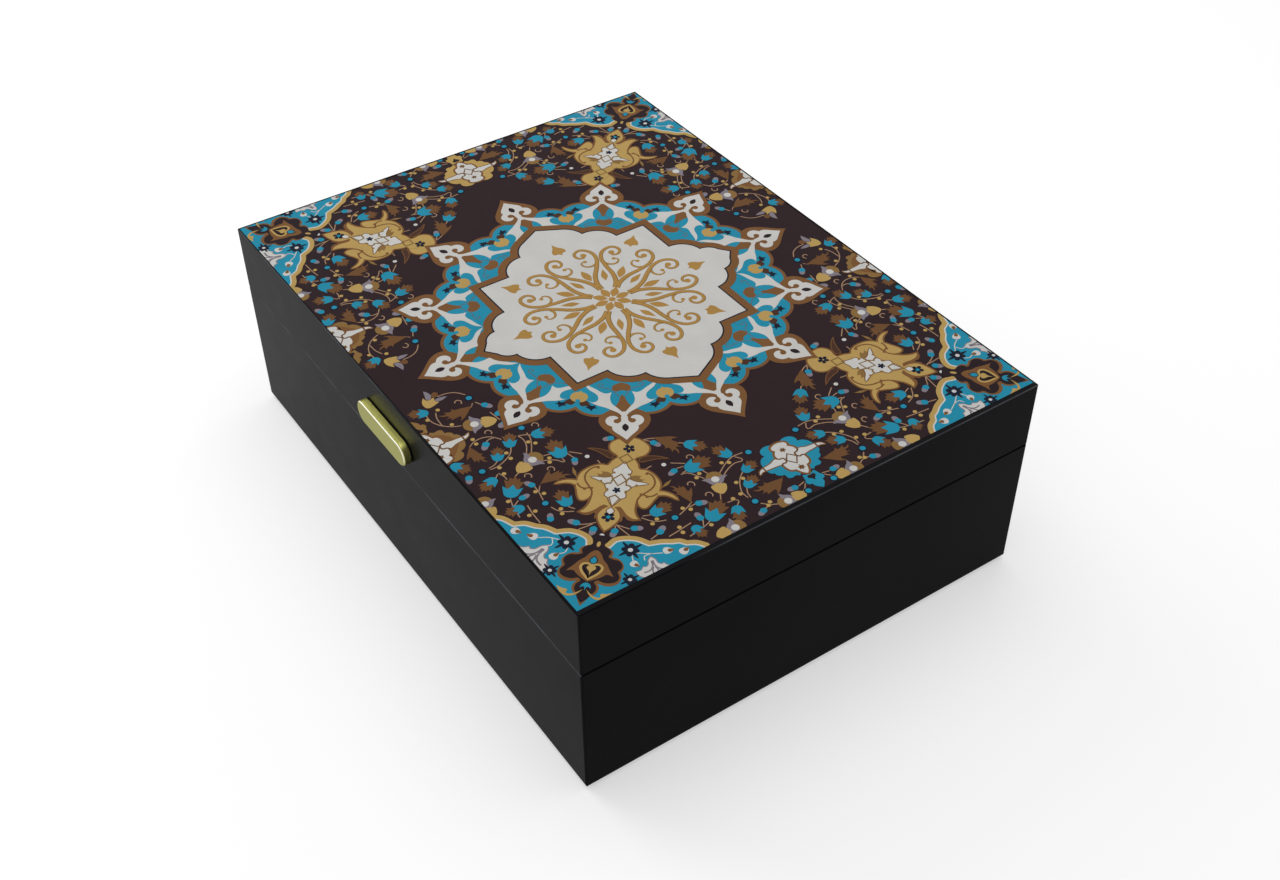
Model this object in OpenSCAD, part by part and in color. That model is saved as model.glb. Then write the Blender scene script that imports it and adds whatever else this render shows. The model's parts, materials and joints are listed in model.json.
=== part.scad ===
// Lidded keepsake box for a bound book.
// Mitred boards under black lacquer, a printed sheet let into the lid, velvet linings,
// a brass thumb pull and two brass stop hinges. Millimetres, +Z up.
// The origin is the centre of the felt underside. The front, with the pull, faces -Y.

/* [Carcass] */
// Outside width, side to side
box_w = 300; // [240:1:360]
// Outside depth, front to back
box_d = 228; // [180:1:280]
// Height of the base walls
base_h = 69; // [50:0.5:100]
// Height of the lid, rails and top board together
lid_h = 33; // [28:0.5:60]
// Thickness of the wall and rail boards
wall_t = 10; // [9.5:0.5:14]
// Radius of the upright outside edges
corner_r = 1; // [0.5:0.1:3]
// Radius of the lower outside edges
foot_r = 2.5; // [0.5:0.1:3]
// Radius of the outside edge round the lid top
top_edge_r = 0.6; // [0.4:0.1:0.8]
// Chamfer on each side of the seam between lid and base
seam_ease = 0.6; // [0.2:0.1:1]

/* [Panels] */
// Thickness of the bottom board
bottom_t = 6; // [4:0.5:8]
// Width of the rebate that holds the bottom board
rebate_w = 5; // [3:0.5:6]
// Thickness of the lid's top board
top_t = 6; // [4:0.5:8]
// Thickness of the printed sheet
print_t = 0.3; // [0.2:0.05:0.6]
// Bare lacquer to the left of the print
print_margin_left = 0.9; // [0.9:0.1:6]
// Bare lacquer to the right of the print
print_margin_right = 2.4; // [0.9:0.1:6]
// Bare lacquer in front of the print and behind it
print_margin_ends = 0.9; // [0.9:0.1:6]
// Thickness of the felt under the base
felt_t = 1; // [0.5:0.1:2]
// How far the felt stops short of the outside
felt_inset = 4; // [3:0.5:10]

/* [Linings] */
// Thickness of the velvet-covered side liners
liner_t = 2.5; // [1.5:0.1:4]
// How far the liners stop short of the seam
liner_drop = 1.5; // [0.5:0.1:4]
// Thickness of the velvet-covered floor board
floor_t = 4; // [2:0.5:8]
// Thickness of the velvet-covered board under the lid top
ceiling_t = 3; // [2:0.5:6]
// Radius of the wrapped edges of the linings
wrap_r = 0.7; // [0.3:0.1:0.7]
// Clearance round boards and linings
board_fit = 0.1; // [0.05:0.05:0.2]

/* [Thumb pull] */
// Length of the pull, over its round ends
pull_l = 43; // [30:0.5:60]
// Height of the pull
pull_h = 11.5; // [8:0.5:13]
// How far the pull stands out from the lid
pull_t = 4; // [3.6:0.1:8]
// Polished chamfer round the pull's front and back
pull_ease = 0.6; // [0.2:0.1:0.9]
// Height of the pull's centre above the seam
pull_rise = 14; // [10:0.5:18]
// Distance between the pull's two screws
pull_screw_pitch = 20; // [16:0.5:22]
// Shank radius of the pull screws
pull_screw_r = 1.5; // [1.25:0.25:1.75]
// Depth of the screw in the pull
pull_screw_bite = 2.6; // [2:0.1:3]
// Head radius of the pull screws
pull_head_r = 2.8; // [2.4:0.1:3]
// Head height of the pull screws
pull_head_h = 2; // [1.5:0.1:2.5]
// Depth of the counterbore for each head, in the front rail
pull_sink = 3; // [2.6:0.1:4]

/* [Hinges] */
// Length of each hinge
hinge_l = 38; // [34:1:50]
// From each side of the box to the middle of its hinge
hinge_inset = 60; // [50:1:80]
// How far the hinge pin's axis stands behind the back
axis_out = 0.6; // [0.4:0.1:1]
// Width of a leaf, from the axis to its inner edge
leaf_w = 8.5; // [7.5:0.1:8.6]
// Thickness of a leaf
leaf_t = 3; // [2.8:0.1:3.5]
// Outside radius of the knuckles
knuckle_r = 2.2; // [1.8:0.1:2.3]
// Number of knuckles along a hinge
knuckles = 5; // [3:2:7]
// Radius of the hinge pin
pin_r = 1; // [0.8:0.05:1.2]
// Radial clearance of the pin in the knuckles
pin_fit = 0.03; // [0.02:0.01:0.08]
// Clearance between the leaves, and between knuckles
leaf_gap = 0.15; // [0.1:0.05:0.25]
// Angle at which the leaves' heels stop the lid
stop_angle = 95; // [90:1:110]
// Brass left between a leaf's screw heads and its inner edge
leaf_edge = 1.2; // [0.8:0.1:1.3]
// Distance between a leaf's two screws
hinge_screw_pitch = 25; // [20:1:26]
// Shank radius of the hinge screws
hinge_screw_r = 1; // [0.8:0.1:1.2]
// Head radius of the hinge screws
hinge_head_r = 1.9; // [1.6:0.05:1.9]
// Length of the hinge screws
hinge_screw_l = 12; // [8:0.5:16]

/* [Hidden] */
$fn = 64;

// Clearance round screws, in their holes and countersinks
screw_fit = 0.05;
// Spare angle left between the heels with the lid fully open
stop_play = 1;
// Distance from the hinge axis to the screws of a leaf
leaf_screw_in = leaf_w - hinge_head_r - leaf_edge;
// Width and depth of the driving slots in the screws
slot_w = 0.6;
slot_deep = 0.6;
// Overlap of cutting shapes past the faces that they cut
cut = 1;

seam_z = felt_t + base_h;
rail_h = lid_h - top_t;
lid_top_z = seam_z + lid_h;
floor_z = felt_t + bottom_t;
liner_z = floor_z + floor_t;
ceiling_z = seam_z + rail_h - ceiling_t;
inner_w = box_w - 2 * wall_t;
inner_d = box_d - 2 * wall_t;
axis_y = box_d / 2 + axis_out;
hinge_x = box_w / 2 - hinge_inset;
pull_z = seam_z + pull_rise;
print_w = box_w - print_margin_left - print_margin_right;
print_d = box_d - 2 * print_margin_ends;
print_x = (print_margin_left - print_margin_right) / 2;
heel_angle = (stop_angle + stop_play) / 2;
knuckle_l = (hinge_l - (knuckles - 1) * leaf_gap) / knuckles;

// Turns that bring a front piece to each side
FRONT = 0;
RIGHT = 90;
BACK = 180;
LEFT = 270;

// Sides of the seam: base pieces lie below it, lid pieces above
BELOW = 0;
ABOVE = 1;

LACQUER = [0.09, 0.09, 0.095];
PRINT = [0.2, 0.15, 0.16];
VELVET = [0.28, 0.05, 0.08];
FELT = [0.06, 0.06, 0.06];
BRASS = [0.72, 0.62, 0.32];
STEEL = [0.6, 0.6, 0.62];

// Sweeps a profile, drawn as (Y, Z), along X and centred on it
module along_x(length) {
    rotate([90, 0, 90])
        translate([0, 0, -length / 2])
            linear_extrude(length) children();
}

// Sweeps a profile, drawn as (X, Z), along Y and centred on it
module along_y(length) {
    rotate([90, 0, 0])
        translate([0, 0, -length / 2])
            linear_extrude(length) children();
}

// Square with its one corner at the origin rounded away, as a cutting shape
module corner_waste(r) {
    difference() {
        translate([-cut, -cut]) square(r + cut);
        translate([r, r]) circle(r);
    }
}

// Rectangle centred on X and standing on Y = 0, with rounded lower or upper corners
module eased_rect(span, height, low_r = 0, high_r = 0) {
    difference() {
        translate([-span / 2, 0]) square([span, height]);
        for (side = [0, 1])
            mirror([side, 0]) {
                if (low_r > 0)
                    translate([-span / 2, 0]) corner_waste(low_r);
                if (high_r > 0)
                    translate([-span / 2, height]) mirror([0, 1]) corner_waste(high_r);
            }
    }
}

// Rectangle with all four corners rounded, centred on the origin
module eased_plan(w, d, r) {
    translate([0, -d / 2]) eased_rect(w, d, r, r);
}

// Cuts the two chamfers at one edge of a profile that stands on Y = 0
module seam_chamfers(span, height_at_seam, way) {
    for (side = [-1, 1])
        translate([side * span / 2, height_at_seam])
            polygon([[-side * seam_ease, 0], [side * cut, 0],
                     [side * cut, way * (seam_ease + cut)], [0, way * seam_ease]]);
}

// Section of the base: round at the foot, chamfered at the seam
module base_section(span) {
    difference() {
        eased_rect(span, base_h, low_r = foot_r);
        seam_chamfers(span, base_h, -1);
    }
}

// Section of the lid: chamfered at the seam, round at the top
module lid_section(span) {
    difference() {
        eased_rect(span, lid_h, high_r = top_edge_r);
        seam_chamfers(span, 0, 1);
    }
}

// Outside form of the base
module base_form() {
    translate([0, 0, felt_t])
        intersection() {
            linear_extrude(base_h) eased_plan(box_w, box_d, corner_r);
            along_x(box_w + cut) base_section(box_d);
            along_y(box_d + cut) base_section(box_w);
        }
}

// Outside form of the lid, rails and top board in one
module lid_form() {
    translate([0, 0, seam_z])
        intersection() {
            linear_extrude(lid_h) eased_plan(box_w, box_d, corner_r);
            along_x(box_w + cut) lid_section(box_d);
            along_y(box_d + cut) lid_section(box_w);
        }
}

// Room taken by the board on one side, with its ends mitred at 45 degrees
module mitred_room(turn, z, height) {
    across = (turn == FRONT || turn == BACK);
    length = across ? box_w : box_d;
    reach = (across ? box_d : box_w) / 2;
    rotate([0, 0, turn])
        translate([0, -reach, z])
            linear_extrude(height)
                polygon([[-length / 2, 0], [length / 2, 0],
                         [length / 2 - wall_t, wall_t], [wall_t - length / 2, wall_t]]);
}

// Board standing on Z = 0 whose upper edges are wrapped round a radius
module wrapped_board(w, d, h) {
    intersection() {
        along_x(w) eased_rect(d, h, high_r = wrap_r);
        along_y(d) eased_rect(w, h, high_r = wrap_r);
    }
}

// Both hinges' places along the back
module at_hinges() {
    for (side = [-1, 1])
        translate([side * hinge_x, axis_y, seam_z]) children();
}

// Both screws' places on a leaf, seen from the hinge axis
module at_leaf_screws() {
    for (side = [-1, 1])
        translate([side * hinge_screw_pitch / 2, -leaf_screw_in, 0]) children();
}

// Both screws' places on the pull, at the outside of the front rail
module at_pull_screws() {
    for (side = [-1, 1])
        translate([side * pull_screw_pitch / 2, -box_d / 2, pull_z])
            rotate([90, 0, 0]) children();
}

// Recess for one leaf and its screws, cut down from the seam
module leaf_mortise() {
    reach = leaf_w + board_fit;
    translate([-hinge_l / 2 - board_fit, -reach, -leaf_t])
        cube([hinge_l + 2 * board_fit, reach + cut, leaf_t + cut]);
    at_leaf_screws()
        translate([0, 0, -leaf_gap - hinge_screw_l - screw_fit])
            cylinder(r = hinge_screw_r + screw_fit, h = hinge_screw_l);
}

// One wall of the base
module base_wall(turn) {
    rebate = [inner_w + 2 * rebate_w, inner_d + 2 * rebate_w];
    color(LACQUER)
        difference() {
            intersection() {
                base_form();
                mitred_room(turn, felt_t, base_h);
            }
            translate([-rebate.x / 2, -rebate.y / 2, felt_t - cut])
                cube([rebate.x, rebate.y, bottom_t + cut]);
            if (turn == BACK)
                at_hinges() leaf_mortise();
        }
}

module base_bottom_panel() {
    size = [inner_w + 2 * (rebate_w - board_fit), inner_d + 2 * (rebate_w - board_fit)];
    color(LACQUER)
        translate([-size.x / 2, -size.y / 2, felt_t])
            cube([size.x, size.y, bottom_t]);
}

module base_felt() {
    color(FELT)
        linear_extrude(felt_t)
            eased_plan(box_w - 2 * felt_inset, box_d - 2 * felt_inset, corner_r);
}

module tray_floor_board() {
    color(VELVET)
        translate([0, 0, floor_z])
            wrapped_board(inner_w - 2 * board_fit, inner_d - 2 * board_fit, floor_t);
}

// One side liner, standing on Z = 0. The front and back ones run the full width.
module liner(turn, height) {
    across = (turn == FRONT || turn == BACK);
    length = across ? inner_w : inner_d - 2 * (liner_t + board_fit);
    reach = (across ? inner_d : inner_w) / 2 - board_fit - liner_t / 2;
    color(VELVET)
        rotate([0, 0, turn])
            translate([0, -reach, 0])
                wrapped_board(length - 2 * board_fit, liner_t, height);
}

module tray_liner(turn) {
    translate([0, 0, liner_z]) liner(turn, seam_z - liner_drop - liner_z);
}

module lid_liner(turn) {
    translate([0, 0, ceiling_z])
        mirror([0, 0, 1]) liner(turn, ceiling_z - seam_z - liner_drop);
}

// One rail of the lid
module lid_rail(turn) {
    color(LACQUER)
        difference() {
            intersection() {
                lid_form();
                mitred_room(turn, seam_z, rail_h);
            }
            if (turn == BACK)
                at_hinges() mirror([0, 0, 1]) leaf_mortise();
            if (turn == FRONT)
                at_pull_screws() {
                    translate([0, 0, -wall_t - cut])
                        cylinder(r = pull_screw_r + screw_fit, h = wall_t + 2 * cut);
                    translate([0, 0, -wall_t - cut])
                        cylinder(r = pull_head_r + screw_fit, h = pull_sink + cut);
                }
        }
}

module lid_top_panel() {
    color(LACQUER)
        difference() {
            intersection() {
                lid_form();
                translate([-box_w / 2, -box_d / 2, seam_z + rail_h])
                    cube([box_w, box_d, top_t]);
            }
            translate([print_x - print_w / 2, -print_d / 2, lid_top_z - print_t])
                cube([print_w, print_d, print_t + cut]);
        }
}

module lid_print_sheet() {
    size = [print_w - 2 * board_fit, print_d - 2 * board_fit];
    color(PRINT)
        translate([print_x - size.x / 2, -size.y / 2, lid_top_z - print_t])
            cube([size.x, size.y, print_t]);
}

module lid_ceiling_board() {
    color(VELVET)
        translate([0, 0, seam_z + rail_h])
            mirror([0, 0, 1])
                wrapped_board(inner_w - 2 * board_fit, inner_d - 2 * board_fit, ceiling_t);
}

// Section of a leaf below the seam, with the hinge axis at the origin.
// Its heel runs back past the axis and meets the other leaf's heel at the stop angle.
module leaf_section() {
    polygon([[-leaf_w, -leaf_gap], [-leaf_w, -leaf_t],
             [leaf_t / tan(heel_angle), -leaf_t], [leaf_gap / tan(heel_angle), -leaf_gap]]);
}

// Cylinders along the hinge axis at every second knuckle, from the given one
module knuckle_row(first, r, extra = 0) {
    for (i = [first:2:knuckles - 1])
        translate([i * (knuckle_l + leaf_gap) - hinge_l / 2 - extra, 0, 0])
            rotate([0, 90, 0]) cylinder(r = r, h = knuckle_l + 2 * extra);
}

// Leaf below the seam that carries every second knuckle, from the given one
module lower_leaf(first) {
    difference() {
        union() {
            difference() {
                along_x(hinge_l) leaf_section();
                knuckle_row(1 - first, knuckle_r + leaf_gap, extra = leaf_gap);
            }
            knuckle_row(first, knuckle_r);
        }
        translate([-hinge_l / 2 - cut, 0, 0])
            rotate([0, 90, 0]) cylinder(r = pin_r + pin_fit, h = hinge_l + 2 * cut);
        at_leaf_screws() {
            translate([0, 0, -leaf_t - cut])
                cylinder(r = hinge_screw_r + screw_fit, h = leaf_t + cut);
            translate([0, 0, -leaf_gap - screw_fit])
                mirror([0, 0, 1]) hinge_screw_head(screw_fit);
            translate([0, 0, -leaf_gap - screw_fit])
                cylinder(r = hinge_head_r + screw_fit, h = cut);
        }
    }
}

// Countersunk head that narrows upwards from Z = 0
module hinge_screw_head(clearance = 0) {
    cylinder(r1 = hinge_head_r + clearance, r2 = hinge_screw_r + clearance,
             h = hinge_head_r - hinge_screw_r);
}

// Countersunk wood screw hanging below Z = 0, with a slotted head
module hinge_screw() {
    point_l = 2 * hinge_screw_r;
    mirror([0, 0, 1])
        difference() {
            union() {
                hinge_screw_head();
                cylinder(r = hinge_screw_r, h = hinge_screw_l - point_l);
                translate([0, 0, hinge_screw_l - point_l])
                    cylinder(r1 = hinge_screw_r, r2 = 0, h = point_l);
            }
            translate([-hinge_head_r - cut, -slot_w / 2, -cut])
                cube([2 * (hinge_head_r + cut), slot_w, slot_deep + cut]);
        }
}

module hinge_leaf(side, level) {
    color(BRASS)
        translate([side * hinge_x, axis_y, seam_z])
            mirror([0, 0, level]) lower_leaf(level);
}

module hinge_pin(side) {
    color(BRASS)
        translate([side * hinge_x - hinge_l / 2, axis_y, seam_z])
            rotate([0, 90, 0]) cylinder(r = pin_r, h = hinge_l);
}

module hinge_screws(level) {
    color(BRASS)
        at_hinges()
            mirror([0, 0, level])
                at_leaf_screws() translate([0, 0, -leaf_gap - screw_fit]) hinge_screw();
}

// Half section of the pull's round end: radius out, then along the pull's thickness
module pull_section() {
    r = pull_h / 2;
    polygon([[0, 0], [r - pull_ease, 0], [r, pull_ease],
             [r, pull_t - pull_ease], [r - pull_ease, pull_t], [0, pull_t]]);
}

module thumb_pull() {
    straight = pull_l - pull_h;
    color(BRASS)
        difference() {
            translate([0, -box_d / 2, pull_z])
                rotate([90, 0, 0])
                    union() {
                        for (side = [-1, 1])
                            translate([side * straight / 2, 0, 0])
                                rotate_extrude() pull_section();
                        for (side = [0, 1])
                            mirror([0, side, 0])
                                along_x(straight) pull_section();
                    }
            at_pull_screws()
                translate([0, 0, -cut])
                    cylinder(r = pull_screw_r + screw_fit,
                             h = pull_screw_bite + 2 * screw_fit + cut);
        }
}

module thumb_pull_screws() {
    color(STEEL)
        at_pull_screws()
            difference() {
                union() {
                    translate([0, 0, pull_sink - wall_t])
                        cylinder(r = pull_screw_r, h = wall_t - pull_sink + pull_screw_bite);
                    translate([0, 0, pull_sink - wall_t - pull_head_h])
                        cylinder(r = pull_head_r, h = pull_head_h);
                }
                translate([-pull_head_r - cut, -slot_w / 2, pull_sink - wall_t - pull_head_h - cut])
                    cube([2 * (pull_head_r + cut), slot_w, slot_deep + cut]);
            }
}

base_wall(FRONT);  // base_front_wall
base_wall(RIGHT);  // base_right_wall
base_wall(BACK);  // base_back_wall
base_wall(LEFT);  // base_left_wall
base_bottom_panel();
base_felt();
tray_floor_board();
tray_liner(FRONT);  // tray_front_liner
tray_liner(RIGHT);  // tray_right_liner
tray_liner(BACK);  // tray_back_liner
tray_liner(LEFT);  // tray_left_liner
lid_rail(FRONT);  // lid_front_rail
lid_rail(RIGHT);  // lid_right_rail
lid_rail(BACK);  // lid_back_rail
lid_rail(LEFT);  // lid_left_rail
lid_top_panel();
lid_print_sheet();
lid_ceiling_board();
lid_liner(FRONT);  // lid_front_liner
lid_liner(RIGHT);  // lid_right_liner
lid_liner(BACK);  // lid_back_liner
lid_liner(LEFT);  // lid_left_liner
hinge_leaf(-1, BELOW);  // left_hinge_base_leaf
hinge_leaf(-1, ABOVE);  // left_hinge_lid_leaf
hinge_pin(-1);  // left_hinge_pin
hinge_leaf(1, BELOW);  // right_hinge_base_leaf
hinge_leaf(1, ABOVE);  // right_hinge_lid_leaf
hinge_pin(1);  // right_hinge_pin
hinge_screws(BELOW);  // base_hinge_screws
hinge_screws(ABOVE);  // lid_hinge_screws
thumb_pull();
thumb_pull_screws();
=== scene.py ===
"""Dresses the book box: black lacquer, an illuminated print on the lid, velvet linings, felt and brass.

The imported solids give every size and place. This script gives each surface its finish, draws the print as
thin plates and lines of ink, covers the lining boards, and sets the floor, the lights and the camera.
"""

from __future__ import annotations

import json
import logging
import math
from collections import defaultdict
from dataclasses import dataclass, field
from enum import Enum
from typing import Any, Iterable, Sequence

import bmesh
import bpy
from mathutils import Matrix, Vector

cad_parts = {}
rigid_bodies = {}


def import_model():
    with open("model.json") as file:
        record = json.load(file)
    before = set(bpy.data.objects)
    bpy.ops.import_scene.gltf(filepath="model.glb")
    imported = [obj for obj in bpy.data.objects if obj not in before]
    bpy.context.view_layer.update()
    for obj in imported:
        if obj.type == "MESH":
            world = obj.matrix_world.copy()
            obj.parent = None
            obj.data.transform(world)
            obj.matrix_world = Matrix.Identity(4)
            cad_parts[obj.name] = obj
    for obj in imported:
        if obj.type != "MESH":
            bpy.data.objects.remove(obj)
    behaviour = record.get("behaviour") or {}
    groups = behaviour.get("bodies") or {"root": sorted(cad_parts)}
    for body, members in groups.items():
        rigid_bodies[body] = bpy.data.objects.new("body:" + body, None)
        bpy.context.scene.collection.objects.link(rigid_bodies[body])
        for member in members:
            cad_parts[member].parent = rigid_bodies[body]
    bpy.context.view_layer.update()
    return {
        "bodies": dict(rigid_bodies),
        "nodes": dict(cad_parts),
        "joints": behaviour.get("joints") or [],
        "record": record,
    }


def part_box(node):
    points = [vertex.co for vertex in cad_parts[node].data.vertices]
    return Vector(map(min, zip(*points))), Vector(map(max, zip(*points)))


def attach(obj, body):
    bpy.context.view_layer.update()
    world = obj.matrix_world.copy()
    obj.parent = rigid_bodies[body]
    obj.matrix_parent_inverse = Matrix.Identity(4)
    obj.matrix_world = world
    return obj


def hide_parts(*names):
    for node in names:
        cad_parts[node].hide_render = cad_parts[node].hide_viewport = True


LOG = logging.getLogger("book_box")
MM = 0.001
TIP = True
WHITE = (1, 1, 1, 1)

Knot = tuple[float, ...]
Loop = list[Vector]
Colour = tuple[float, ...]
Ends = tuple[float, float]
Station = tuple[float, float, float, float]


class Pigment(Enum):
    """Inks of the print, each as red, green and blue out of 255."""

    GROUND = (45, 32, 35)
    BROWN = (118, 82, 50)
    LEAF = (106, 74, 47)
    UMBER = (40, 30, 33)
    TURQUOISE = (38, 136, 164)
    GOLD = (178, 148, 88)
    GILT = (166, 128, 70)
    OCHRE = (132, 102, 60)
    STEM = (162, 130, 104)
    CREAM = (197, 196, 192)
    NAVY = (26, 31, 46)
    LILAC = (127, 119, 127)
    SEPIA = (72, 48, 37)


GROUND, BROWN, LEAF, UMBER, TURQUOISE, GOLD, GILT, OCHRE, STEM, CREAM, NAVY, LILAC, SEPIA = Pigment


def tint(colour: Colour) -> Colour:
    """Turns a colour out of 255, as a screen shows it, into linear light.

    Args:
        colour: Red, green and blue, 0 to 255.

    Returns:
        Linear red, green and blue, and an alpha of 1.
    """
    parts = [value / 255 for value in colour]
    linear = [part / 12.92 if part <= 0.04045 else ((part + 0.055) / 1.055) ** 2.4 for part in parts]
    return (*linear, 1.0)


def put(name: str, data: Any) -> bpy.types.Object:
    """Puts an object with its data into the scene."""
    made = bpy.data.objects.new(name, data)
    bpy.context.scene.collection.objects.link(made)
    return made


def joined(meshes: Iterable[bpy.types.Mesh]) -> bmesh.types.BMesh:
    """Joins meshes into one mesh in the making."""
    form = bmesh.new()
    for mesh in meshes:
        form.from_mesh(mesh)
    return form


def finished(form: bmesh.types.BMesh, name: str) -> bpy.types.Mesh:
    """Turns a mesh in the making into a mesh with a name."""
    mesh = bpy.data.meshes.new(name)
    form.to_mesh(mesh)
    form.free()
    return mesh


@dataclass(frozen=True)
class Wiring:
    """A node tree, with short ways to add nodes to it."""

    tree: Any

    @classmethod
    def bare(cls, holder: Any) -> Wiring:
        """Returns the emptied node tree of a material or a world."""
        holder.use_nodes = True
        holder.node_tree.nodes.clear()
        return cls(holder.node_tree)

    def node(self, kind: str, inputs: dict | None = None, **settings: Any) -> Any:
        """Adds a node, sets it up and wires it.

        Args:
            kind: Blender's name for the node type.
            inputs: Value, output socket or list of sockets for each input, by name or place.
            **settings: Properties of the node.

        Returns:
            The outputs of the new node.
        """
        node = self.tree.nodes.new(kind)
        for name, value in settings.items():
            setattr(node, name, value)
        for key, given in (inputs or {}).items():
            for value in given if isinstance(given, list) else [given]:
                if isinstance(value, bpy.types.NodeSocket):
                    self.tree.links.new(value, node.inputs[key])
                else:
                    node.inputs[key].default_value = value
        return node.outputs

    def fold(self, operation: str, first: Any, *others: Any) -> Any:
        """Joins values one after the other with the same operation, such as MULTIPLY or MAXIMUM."""
        for other in others:
            first = self.node("ShaderNodeMath", {0: first, 1: other}, operation=operation)[0]
        return first

    def place(self, stretch: tuple[float, float, float] = (1.0, 1.0, 1.0)) -> Any:
        """Returns the piece's own coordinates in metres, stretched along each axis."""
        spot = self.node("ShaderNodeTexCoord")["Object"]
        return self.node("ShaderNodeMapping", {"Vector": spot, "Scale": stretch})["Vector"]

    def slopes(self) -> Any:
        """Returns how far the surface faces along X, Y and Z."""
        return self.node("ShaderNodeSeparateXYZ", {0: self.node("ShaderNodeTexCoord")["Normal"]})

    def noise(self, spot: Any, per_metre: float, detail: float) -> Any:
        """Returns noise from 0 to 1 with a given number of lumps in a metre."""
        sizes = {"Vector": spot, "Scale": per_metre, "Detail": detail, "Roughness": 0.55}
        return self.node("ShaderNodeTexNoise", sizes)["Fac"]

    def span(self, value: Any, low: float, high: float, start: float = 0.3, stop: float = 0.7) -> Any:
        """Maps a value between start and stop to the range low to high."""
        ends = {"Value": value, "From Min": start, "From Max": stop, "To Min": low, "To Max": high}
        return self.node("ShaderNodeMapRange", ends)["Result"]

    def inverse(self, share: Any) -> Any:
        """Returns what a share leaves of 1."""
        return self.span(share, 1, 0, 0, 1)

    def blend(self, share: Any, *colours: Any) -> Any:
        """Mixes two colours, each a socket or out of 255, by a share from 0 to 1."""
        first, second = [tint(colour) if isinstance(colour, tuple) else colour for colour in colours]
        return self.node("ShaderNodeMix", {0: share, 6: first, 7: second}, data_type="RGBA")[2]

    def relief(self, height: Any, depth: float, below: Any = None) -> Any:
        """Returns a normal that follows a height, in metres of depth, over another relief."""
        sizes = {"Height": height, "Distance": depth, "Strength": 1.0}
        if below is not None:
            sizes["Normal"] = below
        return self.node("ShaderNodeBump", sizes)["Normal"]

    def surface(self, colour: Any, gloss: Any, normal: Any, more: dict) -> Any:
        """Returns the shader of a surface with a colour, a roughness, a relief and what else it has."""
        look = {"Base Color": colour, "Roughness": gloss, "Normal": normal, **more}
        return self.node("ShaderNodeBsdfPrincipled", look)["BSDF"]


@dataclass(frozen=True)
class Finish:
    """A surface finish, made as one node material."""

    name: str

    def material(self) -> bpy.types.Material:
        """Returns the material of this finish, made on first use."""
        known = bpy.data.materials.get(self.name)
        if known:
            return known
        made = bpy.data.materials.new(self.name)
        wires = Wiring.bare(made)
        wires.node("ShaderNodeOutputMaterial", {"Surface": self.shade(wires)})
        return made

    def shade(self, wires: Wiring) -> Any:
        """Builds the nodes of the finish and returns its shader."""
        raise NotImplementedError


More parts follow.
